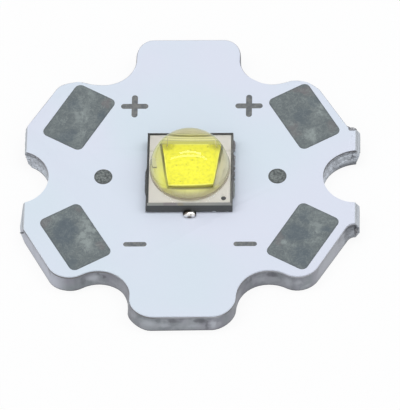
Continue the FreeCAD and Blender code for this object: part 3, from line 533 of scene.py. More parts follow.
def ink_material(settings):
    """White solder mask: bluish, in faint soft patches, with an orange-peel skin and a worn edge."""
    graph = new_graph("white_ink")
    x, y, z = graph.axes()
    fine = graph.noise(9.0, 2.0)
    skin = graph.noise(5.0, 2.0)
    warm = step(graph.noise(0.16, 1.0), 0.46, 0.66)
    cool = step(graph.noise(0.13, 1.0, shift=31.0), 0.48, 0.68)
    clean = step(x, 1.5, 4.5) * step(y, -1.5, -3.0)
    lip = step(y, -2.0, -3.5) * step(x, 6.5, 5.5) * 0.045
    worn = step(z + lip, INK_TOP - 0.032, INK_TOP - 0.056) * (1.0 - clean * 0.85)
    notch = step(x, *NOTCH_X) * step(y, 0.0, 0.3) * step(y, *NOTCH_Y)
    far = step(z, INK_TOP - 0.001, INK_TOP - 0.008) * step(y, 1.0, 2.5) * step(hypot(x, y), 7.8, 8.0)
    tint = layered(settings.ink,
                   (warm * 0.8, settings.ink_lavender),
                   (cool * 0.8, settings.ink_cyan),
                   (fine * 0.05, (0.60, 0.67, 0.78)),
                   (worn * (0.75 + fine * 0.3), settings.worn_ink),
                   (step(z, INK_TOP - 0.040, INK_TOP - 0.060) * notch * 0.8, (0.045, 0.046, 0.052)),
                   (far * 0.85, (0.20, 0.20, 0.24)),
                   (step(abs(x), SCORE_EDGE - 0.03, SCORE_EDGE - 0.005), settings.cut_metal))
    return graph.surface(Base_Color=tint, Roughness=0.42 + skin * 0.10, Normal=bump(skin, 0.002),
                         Specular_IOR_Level=0.35)


def insulation_material(settings):
    """Filled resin, brown-grey where the router cut it and lighter on the score line's flanks."""
    graph = new_graph("insulation")
    x, y, z = graph.axes()
    grain = graph.noise(7.0, 4.0)
    wiped = step(graph.noise(0.45, 2.0, shift=17.0), 0.46, 0.62).larger(step(x, 2.5, 5.5))
    speckle = step(graph.noise(7.5, 5.0, 0.78), 0.42, 0.56)
    notch = step(abs(x), *NOTCH_X) * step(abs(y), *NOTCH_Y) * step(z, CORE_TOP + 0.075, CORE_TOP + 0.045)
    tone = layered(settings.insulation,
                   (grain * 0.7, (0.25, 0.235, 0.235)),
                   (wiped * step(y, -2.2, -3.2) * 0.85, (0.44, 0.45, 0.48)),
                   (notch * 0.9, blend(speckle, (0.10, 0.105, 0.115), (0.56, 0.60, 0.66))),
                   (step(abs(x), SCORE_EDGE + 0.02, SCORE_EDGE + 0.05) * 0.8, settings.cut_metal))
    return graph.surface(Base_Color=tone, Roughness=0.75, Normal=bump(grain, 0.01))


def copper_material(settings):
    """Copper foil, which only its edges would show."""
    graph = new_graph("copper_foil")
    cloud = graph.noise(1.5, 3.0)
    tone = blend(cloud * 0.4, settings.copper, (0.50, 0.26, 0.16))
    return graph.surface(Base_Color=tone, Metallic=1.0, Roughness=0.35 + cloud * 0.1)


def tin_material(settings):
    """Clouded tin: soft bluish and brownish patches, pale mottles, and a painted shade line at the rim, where the
    mask's opening edge shades it.
    """
    graph = new_graph("clouded_tin")
    x, y = graph.axes("XY")
    right = x + (graph.noise(1.3, 3.0, 0.6, shift=21.0) - 0.5) * 1.3
    back = y + (graph.noise(1.3, 3.0, 0.6, shift=52.0) - 0.5) * 1.3
    flecks = graph.spots(2.6, 0.09, shift=5.0)
    mottle = graph.noise(2.4, 5.0, 0.62, 0.2)
    fine = graph.noise(6.0, 5.0, 0.75, 0.2, shift=8.0)
    blue = stains(right, back, BLUE_CLOUDS, 1.35)
    warm = stains(right, back, WARM_CLOUDS, 1.15)
    pale = stains(right, back, PALE_CLOUDS, 1.20) * (0.20 + step(mottle, 0.43, 0.57) * 0.75)
    threads = step(abs(graph.noise(1.7, 4.0, 0.6, 0.9, shift=63.0) - 0.5), 0.030, 0.008)
    pale = (pale * 0.75 + step(mottle, 0.50, 0.68) * 0.22 + threads * 0.30) * (1.0 - blue * 0.6)
    across, along = pad_offsets(x, y)
    # Painted shade: a dark line round each pad's rim, where the mask's opening edge shades it.
    rim = step((abs(across) - PAD_HALF[0]).larger(abs(along) - PAD_HALF[1]), -0.10, -0.01)
    tone = layered(settings.tin,
                   (step(fine, 0.38, 0.60) * 0.75, (0.100, 0.117, 0.127)),
                   (warm * 0.8, settings.tin_warm),
                   (blue * 0.9, settings.tin_blue),
                   (pale.smaller(1.0), settings.tin_pale),
                   ((step(fine, 0.58, 0.68) * 0.45).larger(flecks * 0.5), settings.tin_pale),
                   (rim * 0.45, (0.070, 0.080, 0.085)))
    return graph.surface(Base_Color=tone, Metallic=0.7, Roughness=0.46 + step(mottle, 0.3, 0.7) * 0.10,
                         Normal=bump(mottle * 0.6 + fine * 0.4, 0.006))


def target_material():
    """The round targets' tin: coarse speckle, with a dark line at the rim."""
    graph = new_graph("speckled_tin")
    x, y = graph.axes("XY")
    low, high = [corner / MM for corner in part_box("fiducial_right")]
    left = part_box("fiducial_left")[0].x / MM
    radius = (high.x - low.x) / 2
    up = y - (high.y + low.y) / 2
    off = hypot(x - (high.x + low.x) / 2, up).smaller(hypot(x - (left + radius), up))
    speckle = graph.noise(7.0, 4.0, 0.7, shift=14.0)
    tone = layered((0.055, 0.063, 0.064),
                   (step(speckle, 0.34, 0.64), (0.200, 0.222, 0.220)),
                   (step(off, radius - 0.14, radius - 0.03) * 0.6, (0.050, 0.055, 0.058)))
    return graph.surface(Base_Color=tone, Metallic=0.7, Roughness=0.5, Normal=bump(speckle, 0.008))


def mark_material():
    """The marks' tin: darker than the pads', with brownish spots."""
    graph = new_graph("plain_tin")
    speckle = graph.noise(4.0, 4.0, 0.7, shift=2.0)
    tone = blend(step(speckle, 0.40, 0.62), (0.118, 0.128, 0.136), (0.185, 0.190, 0.186))
    return graph.surface(Base_Color=tone, Metallic=0.7, Roughness=0.5, Normal=bump(speckle, 0.006))


def core_material(settings):
    """Routed aluminium: smears and stains on the edge, painted shade in the front notches' hollows, at the front's
    middle and along the wall's foot, painted light on the straight front walls, smooth cut flanks, rolled lines on the
    underside.
    """
    graph = new_graph("routed_aluminium")
    x, y, z = graph.axes()
    smear = graph.noise(0.75, 3.0, 0.55, 0.6, stretch=(1.0, 1.0, 0.6))
    marks = graph.noise(5.5, 3.0, 0.6, stretch=(1.0, 1.0, 0.12))
    speckle = graph.noise(7.5, 5.0, 0.78)
    rolled = graph.noise(1.0, 3.0, 0.55, stretch=(0.35, 11.0, 1.0))
    ragged = graph.noise(4.0, 4.0, 0.65, shift=33.0) - 0.5
    pale = step(graph.noise(0.95, 3.0, 0.55, 0.5, shift=3.0), 0.46, 0.64)
    patches = step(graph.noise(1.25, 4.0, 0.6, 0.8, stretch=(1.0, 1.0, 0.7), shift=7.0), 0.50, 0.70)
    # Painted light: the straight front walls are lightened with the pale metal colour, more on the left one.
    straight = step(abs(x), 6.9, 7.9) * step(y, -2.5, -3.2)
    hollow = step(hypot(abs(x + STAR_SHIFT) - NOTCH_OFF[0], y + NOTCH_OFF[1]), 2.15, 1.98)
    front = step(y, CORE_FRONT + 0.3, CORE_FRONT + 0.1)
    notch = step(abs(x), *NOTCH_X) * step(abs(y), *NOTCH_Y)
    torn_end = step(x, 8.85, 9.05) * step(y, -2.6, -3.0)
    high = step(z, 0.70, 1.20)
    low = step(z, 0.45, 0.05)
    under = step(z, 0.004, 0.001)
    flank = step(abs(x), SCORE_EDGE + 0.07, SCORE_EDGE + 0.10) * (step(z, 1.00, 1.03) + step(z, 0.45, 0.42))
    along = x + ragged * 0.35
    rise = z + ragged * 0.30
    spots = (stains(along, rise, FRONT_SPOTS) * front).larger(stains(along, rise, NOTCH_SPOTS) * hollow)
    # Painted shade: the hollow terms and the front's middle darken the wall in the stain colour, on top of the stain
    # patches.
    dark = patches * (0.10 + high * 0.30 + hollow * 0.1) + high * 0.10 + low * 0.10 + hollow * 0.22
    dark = dark + step(y, -8.0, -9.4) * 0.12 + hollow * step(x, 0.0, 2.0) * 0.12
    dark = dark.larger(stains(along, rise, FRONT_STAINS) * front)
    dark = dark.larger(stains(along, rise, NOTCH_STAINS) * hollow)
    tone = layered(settings.metal_green,
                   (step(smear, 0.38, 0.62), settings.metal_purple),
                   ((pale * 0.45).larger(straight * 0.75), settings.metal_pale),
                   (straight * step(x, -6.0, -7.0) * 0.45, (0.56, 0.59, 0.69)),
                   (spots, (0.52, 0.55, 0.60)),
                   (dark.smaller(1.0), settings.metal_stain_and_shade),
                   (marks * 0.25, (0.46, 0.46, 0.50)),
                   ((notch * 0.92).larger(torn_end * 0.9), pitted_tone(graph, speckle, ragged, torn_end)),
                   (flank * 0.9, settings.cut_metal),
                   # Painted contact shadow: a dark line along the wall's foot, above the underside.
                   (step(z, 0.10, 0.05) * (1.0 - under) * 0.7, (0.09, 0.09, 0.10)),
                   (under, blend(rolled, settings.metal_bright, (0.66, 0.66, 0.68))))
    height = marks * 0.5 + notch * speckle * 0.8 + under * rolled * 0.3
    return graph.surface(Base_Color=tone, Metallic=0.9, Roughness=0.42 + smear * 0.15, Normal=bump(height, 0.012))


def pitted_tone(graph, speckle, ragged, torn_end):
    """The pitted metal of the end notches' walls, with a crack, darker low down at the right notch, and dull at the
    torn end.
    """
    x, y, z = graph.axes()
    shade = step(graph.noise(1.1, 3.0, 0.6, shift=12.0) + z * 0.25, 0.60, 0.85)
    crack = stain(x + ragged * 1.1, z, (9.38, 0.85), (0.16, 0.55)) * step(y, 0.2, 0.5)
    darker_low = step(z + ragged * 0.25, 0.62, 0.10) * step(x, 7.6, 9.2) * step(y, 0.8, 1.2)
    coarse = step(graph.noise(3.2, 4.0, 0.65, shift=41.0), 0.44, 0.56)
    return layered((0.085, 0.090, 0.100),
                   (step(speckle, 0.38, 0.46), (0.60, 0.645, 0.71)),
                   (step(speckle, 0.60, 0.66) * 0.8, (0.95, 0.95, 0.97)),
                   (shade * 0.45, (0.20, 0.210, 0.235)),
                   (step(z, 1.00, 1.20) * 0.50, (0.055, 0.060, 0.070)),
                   (crack * 0.85, (0.050, 0.053, 0.062)),
                   (darker_low * 0.80, (0.075, 0.078, 0.086)),
                   (coarse * 0.40, (0.15, 0.158, 0.175)),
                   (torn_end * 0.55, (0.10, 0.104, 0.116)))


def torn_material():
    """Aluminium torn where a web was snapped."""
    graph = new_graph("torn_aluminium")
    grain = graph.noise(5.0, 4.0, 0.65)
    tone = blend(step(grain, 0.40, 0.66), (0.11, 0.112, 0.122), (0.40, 0.405, 0.43))
    return graph.surface(Base_Color=tone, Metallic=0.6, Roughness=0.55, Normal=bump(grain, 0.015))


def tear_webs(shape, depth):
    """Break the flat snapped webs up and roughen them along X."""
    webs = []
    for face in shape.faces:
        centre = face.calc_center_median()
        if abs(face.normal.x) > 0.9 and abs(centre.x) > WEB_X and WEB_LOW < centre.z < WEB_HIGH:
            webs.append(face)
    edges = {edge for face in webs for edge in face.edges}
    made = bmesh.ops.subdivide_edges(shape, edges=list(edges), cuts=WEB_CUTS, use_grid_fill=True)
    faces = [item for item in made["geom_inner"] if isinstance(item, bmesh.types.BMFace)]
    faces = [face for face in faces if abs(face.normal.x) > 0.9]
    for face in faces:
        face.material_index = 1
    for vert in {vert for face in faces for vert in face.verts}:
        rough = noise.fractal(vert.co / WEB_GRAIN, 1.0, 2.0, 4)
        vert.co.x += math.copysign(depth * (rough - 0.3), vert.co.x)


def shift_edge(shape, shifts=EDGE_SHIFTS):
    """Move the routed edge where the router left the pattern, but not the pads' openings."""
    for vert in shape.verts:
        x, y = vert.co.xy / MM
        across, along = pad_offsets(x, y)
        if max(abs(across) - PAD_HALF[0], abs(along) - PAD_HALF[1]) < PAD_MARGIN:
            continue
        if shifts is FOOT_SHIFTS and vert.co.z > CORE_LOW.z + FOOT_HEIGHT * MM:
            continue
        for middle_x, middle_y, reach, right, back in shifts:
            off = math.hypot(x - middle_x, y - middle_y) / reach
            if off < 1.0:
                vert.co += Vector((right, back, 0.0)) * MM * (1.0 - off * off) ** 2
                vert.co.y = max(CORE_LOW.y, min(vert.co.y, CORE_HIGH.y))


def on_outline(at):
    """Whether a point of the mask's edge is on the routed outline, not on a pad's opening."""
    x, y = at.xy / MM
    across, along = pad_offsets(x, y)
    return max(across - PAD_HALF[0], along - PAD_HALF[1]) > PAD_MARGIN and math.hypot(x, y) > OUTLINE_START


def on_back(at):
    """Whether a point is on the outline's back half."""
    return on_outline(at) and at.y > 0.0


def pull_back(shape, inset):
    """Draw the mask's outer edge in at the back, so that the sheet under it shows as a thin line."""
    moves = {}
    for vert in shape.verts:
        outward = Vector((0.0, 0.0))
        for face in vert.link_faces:
            if abs(face.normal.z) < 0.5:
                outward += face.normal.xy
        if on_outline(vert.co) and outward.length > 0.0:
            moves[vert] = outward.normalized() * inset * min(1.0, max(0.0, 0.5 + vert.co.y / (2 * MM)))
    for vert, move in moves.items():
        vert.co.xy -= move


def trim_minus(shape, trim):
    """Shorten the minus marks, or their openings, at their left ends."""
    around = 0.1 * MM
    for side in SIDES:
        low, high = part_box("minus_mark_" + side)
        for vert in shape.verts:
            x, y = vert.co.xy
            if low.x - around < x < (low.x + high.x) / 2 and low.y - around < y < high.y + around:
                vert.co.x += trim


def wear_corner(shape, side, foot, depth):
    """Draw an end's lower part in beside a notch, where a piece broke out."""
    for vert in shape.verts:
        x, y, z = vert.co / MM
        if x * side > BREAK_X and 0.0 < y < BREAK_Y and z < BREAK_TOP:
            vert.co.x -= side * depth * MM * min(1.0, (BREAK_TOP - z) / 1.1) * min(1.0, foot + z / 0.4)


def keep_inside(shape):
    """Hold a board piece's points inside the routed board's length."""
    for vert in shape.verts:
        vert.co.x = min(max(vert.co.x, CORE_LOW.x), CORE_HIGH.x)


def add_burr(name, material, centre, size, seed):
    """A small torn lump left on an edge."""
    shape = bmesh.new()
    bmesh.ops.create_icosphere(shape, subdivisions=4, radius=1.0)
    for vert in shape.verts:
        rough = noise.fractal(vert.co * 1.4 + Vector((seed, 0, 0)), 1.0, 2.0, 3)
        vert.co *= 1.0 + 0.30 * rough
    place = Matrix.Translation(Vector(centre) * MM) @ Matrix.Diagonal((*(Vector(size) * MM), 1.0))
    bmesh.ops.transform(shape, matrix=place, verts=shape.verts)
    keep_inside(shape)
    add_piece(name, shape, [material], sharp=50)


class STAR_OT_core(Operator):
    """Finish the board's metal core, with its worn rim and snapped webs"""
    bl_idname = "star_board.core"
    bl_label = "Finish the Core"

    def execute(self, context):
        settings = context.scene.star_board.board
        shape = merged_copy("aluminium_base")
        shift_edge(shape)
        ease(shape, corner_edges(shape, lambda at: at.z < CORE_LOW.z + MERGE), settings.rim_ease)
        shift_edge(shape, FOOT_SHIFTS)
        tear_webs(shape, settings.tear_depth)
        for side, foot, depth in BREAKS:
            wear_corner(shape, side, foot, depth)
        keep_inside(shape)
        torn = torn_material()
        add_piece("routed_core", shape, [core_material(settings), torn], ["aluminium_base"], 20)
        for name, centre, size, seed in BURRS:
            add_burr("burr_" + name, torn, centre, size, seed)
        return {"FINISHED"}


class STAR_OT_layers(Operator):
    """Finish the insulation, the copper, the mask and what is tinned"""
    bl_idname = "star_board.layers"
    bl_label = "Finish the Layers"

    def execute(self, context):
        settings = context.scene.star_board.board
        shape = merged_copy("dielectric_layer")
        shift_edge(shape)
        add_piece("insulation_sheet", shape, [insulation_material(settings)], ["dielectric_layer"], 35)
        dress(["copper_positive", "copper_thermal", "copper_negative"], copper_material(settings))
        self.add_ink(settings)
        pads = ["wire_pad_%s_%s" % (sort, side) for sort in ("positive", "negative") for side in SIDES]
        dress(pads, tin_material(settings))
        dress(["fiducial_" + side for side in SIDES], target_material())
        marked = mark_material()
        dress(["plus_mark_" + side for side in SIDES], marked)
        for side in SIDES:
            shape = merged_copy("minus_mark_" + side)
            trim_minus(shape, settings.minus_trim)
            add_piece("short_minus_" + side, shape, [marked], ["minus_mark_" + side], 35)
        return {"FINISHED"}

    def add_ink(self, settings):
        """The white mask, with rounded edges and openings."""
        shape = merged_copy("solder_mask")
        shift_edge(shape)
        shape.normal_update()
        pull_back(shape, settings.mask_inset)
        trim_minus(shape, settings.minus_trim)
        rim = corner_edges(shape, lambda at: at.z > BOARD_TOP - MERGE)
        rest = [edge for edge in rim if not all(on_back(vert.co) for vert in edge.verts)]
        ease(shape, rest, settings.ink_ease)
        outer = corner_edges(shape, lambda at: at.z > BOARD_TOP - MERGE and on_back(at))
        ease(shape, outer, settings.outline_ease, clamped=False)
        add_piece("ink_sheet", shape, [ink_material(settings)], ["solder_mask"], 20)


def ceramic_material(settings):
    """Dark ceramic with sawn sides, pale chips at its foot, flaked teeth and dust between the platings."""
    graph = new_graph("dark_ceramic")
    x, y, z = graph.axes()
    grain = graph.noise(11.0, 4.0, 0.65)
    saw = graph.noise(1.0, 2.0, 0.5, stretch=(0.6, 0.6, 16.0))
    flakes = graph.noise(4.5, 3.0, 0.6, shift=9.0)
    chips = step(graph.noise(6.0, 3.0, 0.6, shift=5.0), 0.56, 0.63) * step(z, CERAMIC_FOOT + 0.07, CERAMIC_FOOT + 0.01)
    top = step(z, CERAMIC_TOP - 0.03, CERAMIC_TOP - 0.01)
    teeth = step(x, CERAMIC_SIDE + 0.01, CERAMIC_SIDE + 0.04)
    tips = step(x, CERAMIC_SIDE + 0.06, CERAMIC_SIDE + 0.09)
    seam = top * step(abs(y - SEAM_LINE), 0.10, 0.05) * step(abs(x), 1.25, 1.15)
    dust = blend(step(y, SEAM_LINE, SEAM_LINE - 0.04) * 0.6, settings.seam, (0.80, 0.77, 0.40))
    tone = layered(settings.ceramic,
                   (grain * 0.45 + saw * 0.2, (0.13, 0.135, 0.135)),
                   (chips, (0.62, 0.65, 0.67)),
                   (step(x, 2.36, 2.40) * top * 0.85, (0.26, 0.26, 0.25)),
                   (teeth * step(flakes, 0.40, 0.48) * 0.7, settings.ceramic_pale),
                   (tips * step(flakes, 0.57, 0.61), (0.90, 0.88, 0.90)),
                   (step(y, -0.60, -0.66) * teeth * 0.7, (0.25, 0.275, 0.255)),
                   (seam, dust))
    return graph.surface(Base_Color=tone, Roughness=0.62, Normal=bump(grain * 0.6 + saw * 0.4, 0.02))


def solder_material(settings):
    """Bright solder with a faint grain, a dark line along its foot on the board and painted dark reflections in front.
    """
    graph = new_graph("bright_solder")
    x, y, z = graph.axes()
    grain = graph.noise(3.5, 3.0, 0.6)
    # Painted reflections: the dark patches in the middle, at the corner, along a crease and on the right stand for the
    # package's dark front mirrored in the bead.
    slope = y * 0.81 + z * 0.58
    middle = stain(x, slope, (0.01, -1.54), (0.20, 0.15))
    corner = step(slope - x * 0.51, -1.262, -1.235) * step(x, 0.09, 0.05)
    crease = step(abs(x - 0.10), 0.045, 0.010) * 0.70
    dark_reflection = middle.larger(corner).larger(crease).larger(step(x, 0.29, 0.35)) * step(y, -2.55, -2.60)
    # A dark line low down, where the bead meets the board.
    dark_base = step(z, INK_TOP + 0.085, INK_TOP + 0.03)
    tone = layered(settings.solder,
                   (grain * 0.3, (0.55, 0.54, 0.53)),
                   ((dark_base * 0.9).larger(dark_reflection * 0.92), (0.075, 0.058, 0.045)))
    return graph.surface(Base_Color=tone, Metallic=1.0, Roughness=0.08 + grain * 0.08, Normal=bump(grain, 0.012))


def gold_material(name, tone, roughness):
    """Gold, faintly uneven."""
    graph = new_graph(name)
    cloud = graph.noise(3.0, 3.0)
    tone = blend(cloud * 0.3, tone, [part * 0.7 for part in tone])
    return graph.surface(Base_Color=tone, Metallic=1.0, Roughness=roughness + cloud * 0.1)


class STAR_OT_package(Operator):
    """Finish the package's ceramic, contacts and solder"""
    bl_idname = "star_board.package"
    bl_label = "Finish the Package"

    def execute(self, context):
        settings = context.scene.star_board.package
        solder = solder_material(settings)
        self.add_ceramic(settings)
        self.add_front_solder(solder)
        dress(["anode_solder_joint", "thermal_solder_joint", "die_attach"], solder)
        dress(["anode_contact", "thermal_contact", "cathode_contact"],
              gold_material("contact_gold", settings.gold, 0.3))
        return {"FINISHED"}

    def add_ceramic(self, settings):
        """The ceramic with the ragged ridges that snapping left on its right and left sides."""
        half = CERAMIC_HIGH.y
        shape = bmesh.new()
        block(shape, Vector((-half, -half, CERAMIC_LOW.z)), Vector((half, half, CERAMIC_HIGH.z)), CERAMIC_CUTS)
        rise = CERAMIC_HIGH.z - CERAMIC_LOW.z
        for vert in shape.verts:
            x, y, z = vert.co
            level = (z - CERAMIC_LOW.z) / rise
            band = max(0.0, 1.0 - abs(level - 0.45) / 0.42) ** 0.5
            rough = noise.fractal(Vector((y, z * 1.4, 0.0)) / (0.11 * MM), 0.8, 2.0, 4)
            along = y / MM
            if x > half - MERGE:
                tooth = max(smooth_window(along, front, back, 0.035) for front, back in TEETH)
                stump = 0.12 * smooth_window(along, -1.75, 2.26, 0.06)
                vert.co.x += band * settings.right_tooth * max(tooth, stump) * (0.9 + 0.2 * rough)
            elif x < -half + MERGE:
                bulge = band * settings.left_bulge * smooth_window(along, -1.6, 0.3, 0.35)
                flare = settings.left_flare * (1.0 - level) * smooth_window(along, -3.0, 0.5, 0.5)
                vert.co.x -= max(bulge, flare) * (0.9 + 0.1 * rough)
            if y < -half + MERGE:
                vert.co.y -= settings.front_flare * (1.0 - level) * (0.95 + 0.05 * rough)
        bmesh.ops.recalc_face_normals(shape, faces=shape.faces)
        add_piece("ceramic_block", shape, [ceramic_material(settings)], ["ceramic_substrate"], 32)

    def add_front_solder(self, solder):
        """The cathode's solder strip, the neck under the package's edge and the bead in front of it."""
        shape = bmesh.new()
        back = -1.85 * MM
        front = -2.35 * MM
        strip_top = BOARD_TOP + 0.03 * MM
        neck = 0.24 * MM
        block(shape, Vector((JOINT_LOW.x, front, JOINT_LOW.z)), Vector((JOINT_HIGH.x, back, strip_top)))
        bead = Vector((0.01 * MM, -2.76 * MM, BOARD_TOP + 0.09 * MM))
        block(shape, Vector((-neck, bead.y, BOARD_TOP)), Vector((neck, back, strip_top + 0.02 * MM)))
        made = bmesh.ops.create_uvsphere(shape, u_segments=48, v_segments=32, radius=1.0)
        for vert in made["verts"]:
            for axis in (0, 1):
                vert.co[axis] = math.copysign(abs(vert.co[axis]) ** 0.75, vert.co[axis])
        place = Matrix.Translation(bead) @ Matrix.Diagonal((0.395 * MM, 0.25 * MM, 0.245 * MM, 1.0))
        bmesh.ops.transform(shape, matrix=place, verts=made["verts"])
        piece = add_piece("front_solder", shape, [solder], ["cathode_solder_joint"])
        melt = piece.modifiers.new("melt", "REMESH")
        melt.mode = "VOXEL"
        melt.voxel_size = 0.02 * MM
        settle = piece.modifiers.new("settle", "SMOOTH")
        settle.factor = 0.6
        settle.iterations = 6
        apply_modifiers(piece)
        for vert in piece.data.vertices:
            vert.co.z = max(vert.co.z, JOINT_LOW.z)
            if vert.co.y < front - 0.05 * MM:
                vert.co.z = max(vert.co.z, BOARD_TOP)
        piece.data.shade_smooth()


def plating_material(settings):
    """Cream plating, beige under the dome, dusted yellow beside the chip, with painted shade in a brown ring in front
    of it and partly in the dark margin close round it.
    """
    graph = new_graph("cream_plating")
    x, y = graph.axes("XY")
    grain = graph.noise(9.0, 4.0, 0.6)
    streaks = graph.noise(1.6, 3.0, 0.6, stretch=(2.2, 0.5, 1.0), shift=6.0)
    half = DIE_HALF
    right = x - DIE_MIDDLE.x
    back = y - DIE_MIDDLE.y
    gap = hypot((abs(right) - half).larger(0.0), (abs(back) - half).larger(0.0))
    off = hypot(x, y)
    under_dome = step(off, 2.36, 2.22)
    to_left = step(right, -half + 0.60, -half - 0.20)
    to_right = step(right, half - 0.35, half + 0.15)
    to_front = step(back, -half + 0.35, -half - 0.15)
    to_back = step(back, half - 0.10, half + 0.05)
    lower = 0.60 + step(back, 0.6, -0.4) * 0.35
    dust = (to_left * lower).larger(to_front * 0.55).larger(to_back * 0.65).larger(to_right * 0.10)
    before = step(back, -half + 0.05, -half - 0.10)
    # Painted shade: a brown ring in front of the chip and a band beside it near the dome's edge.
    ring = step(off, 1.05, 1.60) * step(off, 2.30, 1.85) * before * 0.55
    beside = step(y, 0.30, -0.80) * step(off, 1.50, 1.85) * step(off, 2.25, 2.05)
    strip = between(back, half, half + 0.16, 0.03) * step(abs(right), half + 0.1, half)
    lines = between(y, 1.27, 1.30, 0.015) + between(y, 1.35, 1.37, 0.015)
    fade = 0.35 + step(back, -half * 0.7, half * 0.4) * 0.6
    fainter_middle = 1.0 - between(back, -0.70, 0.35, 0.15) * 0.85
    sides = to_left.larger(to_right * fainter_middle) * fade
    # The dark olive margin round the chip is partly its gap and die attach, partly painted shade, fainter in the right
    # side's middle.
    margin = step(gap, 0.085, 0.04) * sides.larger(to_front * 0.75).larger(to_back * 0.40)
    cream = blend(grain * 0.15, settings.plating, (0.84, 0.81, 0.74))
    shade = blend(grain * 0.3 + step(streaks, 0.42, 0.66) * 0.6, settings.plating_shade, (0.50, 0.47, 0.36))
    tone = layered(cream,
                   (under_dome, shade),
                   (step(gap, 1.15, 0.05) * dust * under_dome, settings.plating_yellow),
                   (to_back * step(y, 2.0, 1.6) * under_dome * 0.50, (0.92, 0.90, 0.46)),
                   (step(y, 1.475, 1.535) * under_dome * 0.50, (0.36, 0.32, 0.20)),
                   (between(y, 1.48, 1.51, 0.015) * under_dome * 0.5, (0.20, 0.18, 0.06)),
                   (ring.larger(beside * 0.40) * under_dome, (0.36, 0.31, 0.19)),
                   (strip * 0.70, (0.56, 0.56, 0.05)),
                   (lines * to_back * 0.38, settings.plating_olive),
                   (margin, settings.plating_olive))
    return graph.surface(Base_Color=tone, Roughness=0.6, Specular_IOR_Level=0.2, Normal=bump(grain, 0.004))


def phosphor_tone(settings, graph):
    """The phosphor's yellow: faint clouds, small dark specks and a duller strip at the chip's back."""
    (y,) = graph.axes("Y")
    fine = graph.noise(8.0, 3.0, 0.6)
    dull = step(graph.noise(2.6, 5.0, 0.7, shift=27.0), 0.48, 0.62) * (0.35 + step(y, 0.4, -0.9) * 0.65)
    return layered(settings.phosphor,
                   (graph.noise(1.6, 3.0) * 0.30, (0.78, 0.76, 0.032)),
                   (step(fine, 0.48, 0.66) * 0.45, (0.64, 0.62, 0.040)),
                   (dull * 0.30, (0.60, 0.58, 0.05)),
                   (graph.spots(4.2, 0.17, shift=3.0) * 0.55, (0.38, 0.35, 0.04)),
                   (step(y, DIE_BACK - 0.55, DIE_BACK) * 0.30, (0.70, 0.68, 0.05)))


def phosphor_material(settings):
    """Yellow phosphor, paler along its edges, with a dark front edge and dulled back corners."""
    graph = new_graph("yellow_phosphor")
    x, y = graph.axes("XY")
    right = x - DIE_MIDDLE.x
    rim = step(abs(right).larger(abs(y - DIE_MIDDLE.y)), DIE_HALF - 0.06, DIE_HALF - 0.02)
    front = y - x * 0.03 - DIE_FRONT
    corners = [stain(right, y, (side * 0.80, DIE_BACK - 0.05), (0.30, 0.20)) * 0.35 for side in (-1.0, 1.0)]
    tone = layered(phosphor_tone(settings, graph),
                   (rim * 0.35, (0.90, 0.90, 0.30)),
                   (between(front, 0.07, 0.12, 0.03) * 0.45, (0.95, 0.95, 0.42)),
                   (step(front, 0.065, 0.035) * 0.85, (0.30, 0.28, 0.03)),
                   *((corner, (0.36, 0.34, 0.03)) for corner in corners))
    return graph.surface(Base_Color=tone, Roughness=0.7, Specular_IOR_Level=0.1)


def chip_material(settings):
    """The chip's dark sides, and its dusted corners with a dark spot under each wire."""
    graph = new_graph("chip")
    x, y, z = graph.axes()
    top = phosphor_tone(settings, graph)
    for side in SIDES:
        low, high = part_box("bond_wire_" + side)
        centre = ((low.x + high.x) / (2 * MM), low.y / MM + settings.wire_radius / MM)
        top = blend(stain(x, y, centre, (0.26, 0.20)) * 0.50, top, (0.33, 0.31, 0.03))
    dusted = step(x, DIE_RIGHT - 0.10, DIE_RIGHT - 0.02) * between(y, -0.70, 0.40, 0.15)
    wall = layered(settings.chip_side,
                   (graph.noise(8.0, 3.0), (0.28, 0.265, 0.030)),
                   (dusted * 0.8, (0.62, 0.58, 0.14)),
                   (step(y, DIE_FRONT + 0.02, DIE_FRONT + 0.005) * 0.5, (0.42, 0.40, 0.08)))
    tone = blend(step(z, DIE_TOP - 0.006, DIE_TOP - 0.002), wall, top)
    return graph.surface(Base_Color=tone, Roughness=0.6, Specular_IOR_Level=0.1)


def diode_material():
    """The diode, dusted like the plating it stands on."""
    graph = new_graph("diode")
    (z,) = graph.axes("Z")
    grain = graph.noise(8.0, 3.0)
    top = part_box("protection_diode")[1].z / MM
    wall = blend(grain, (0.36, 0.33, 0.15), (0.44, 0.40, 0.21))
    dusted = blend(grain * 0.5, (0.68, 0.67, 0.34), (0.61, 0.60, 0.28))
    tone = blend(step(z, top - 0.020, top - 0.005), wall, dusted)
    return graph.surface(Base_Color=tone, Roughness=0.5, Specular_IOR_Level=0.2)


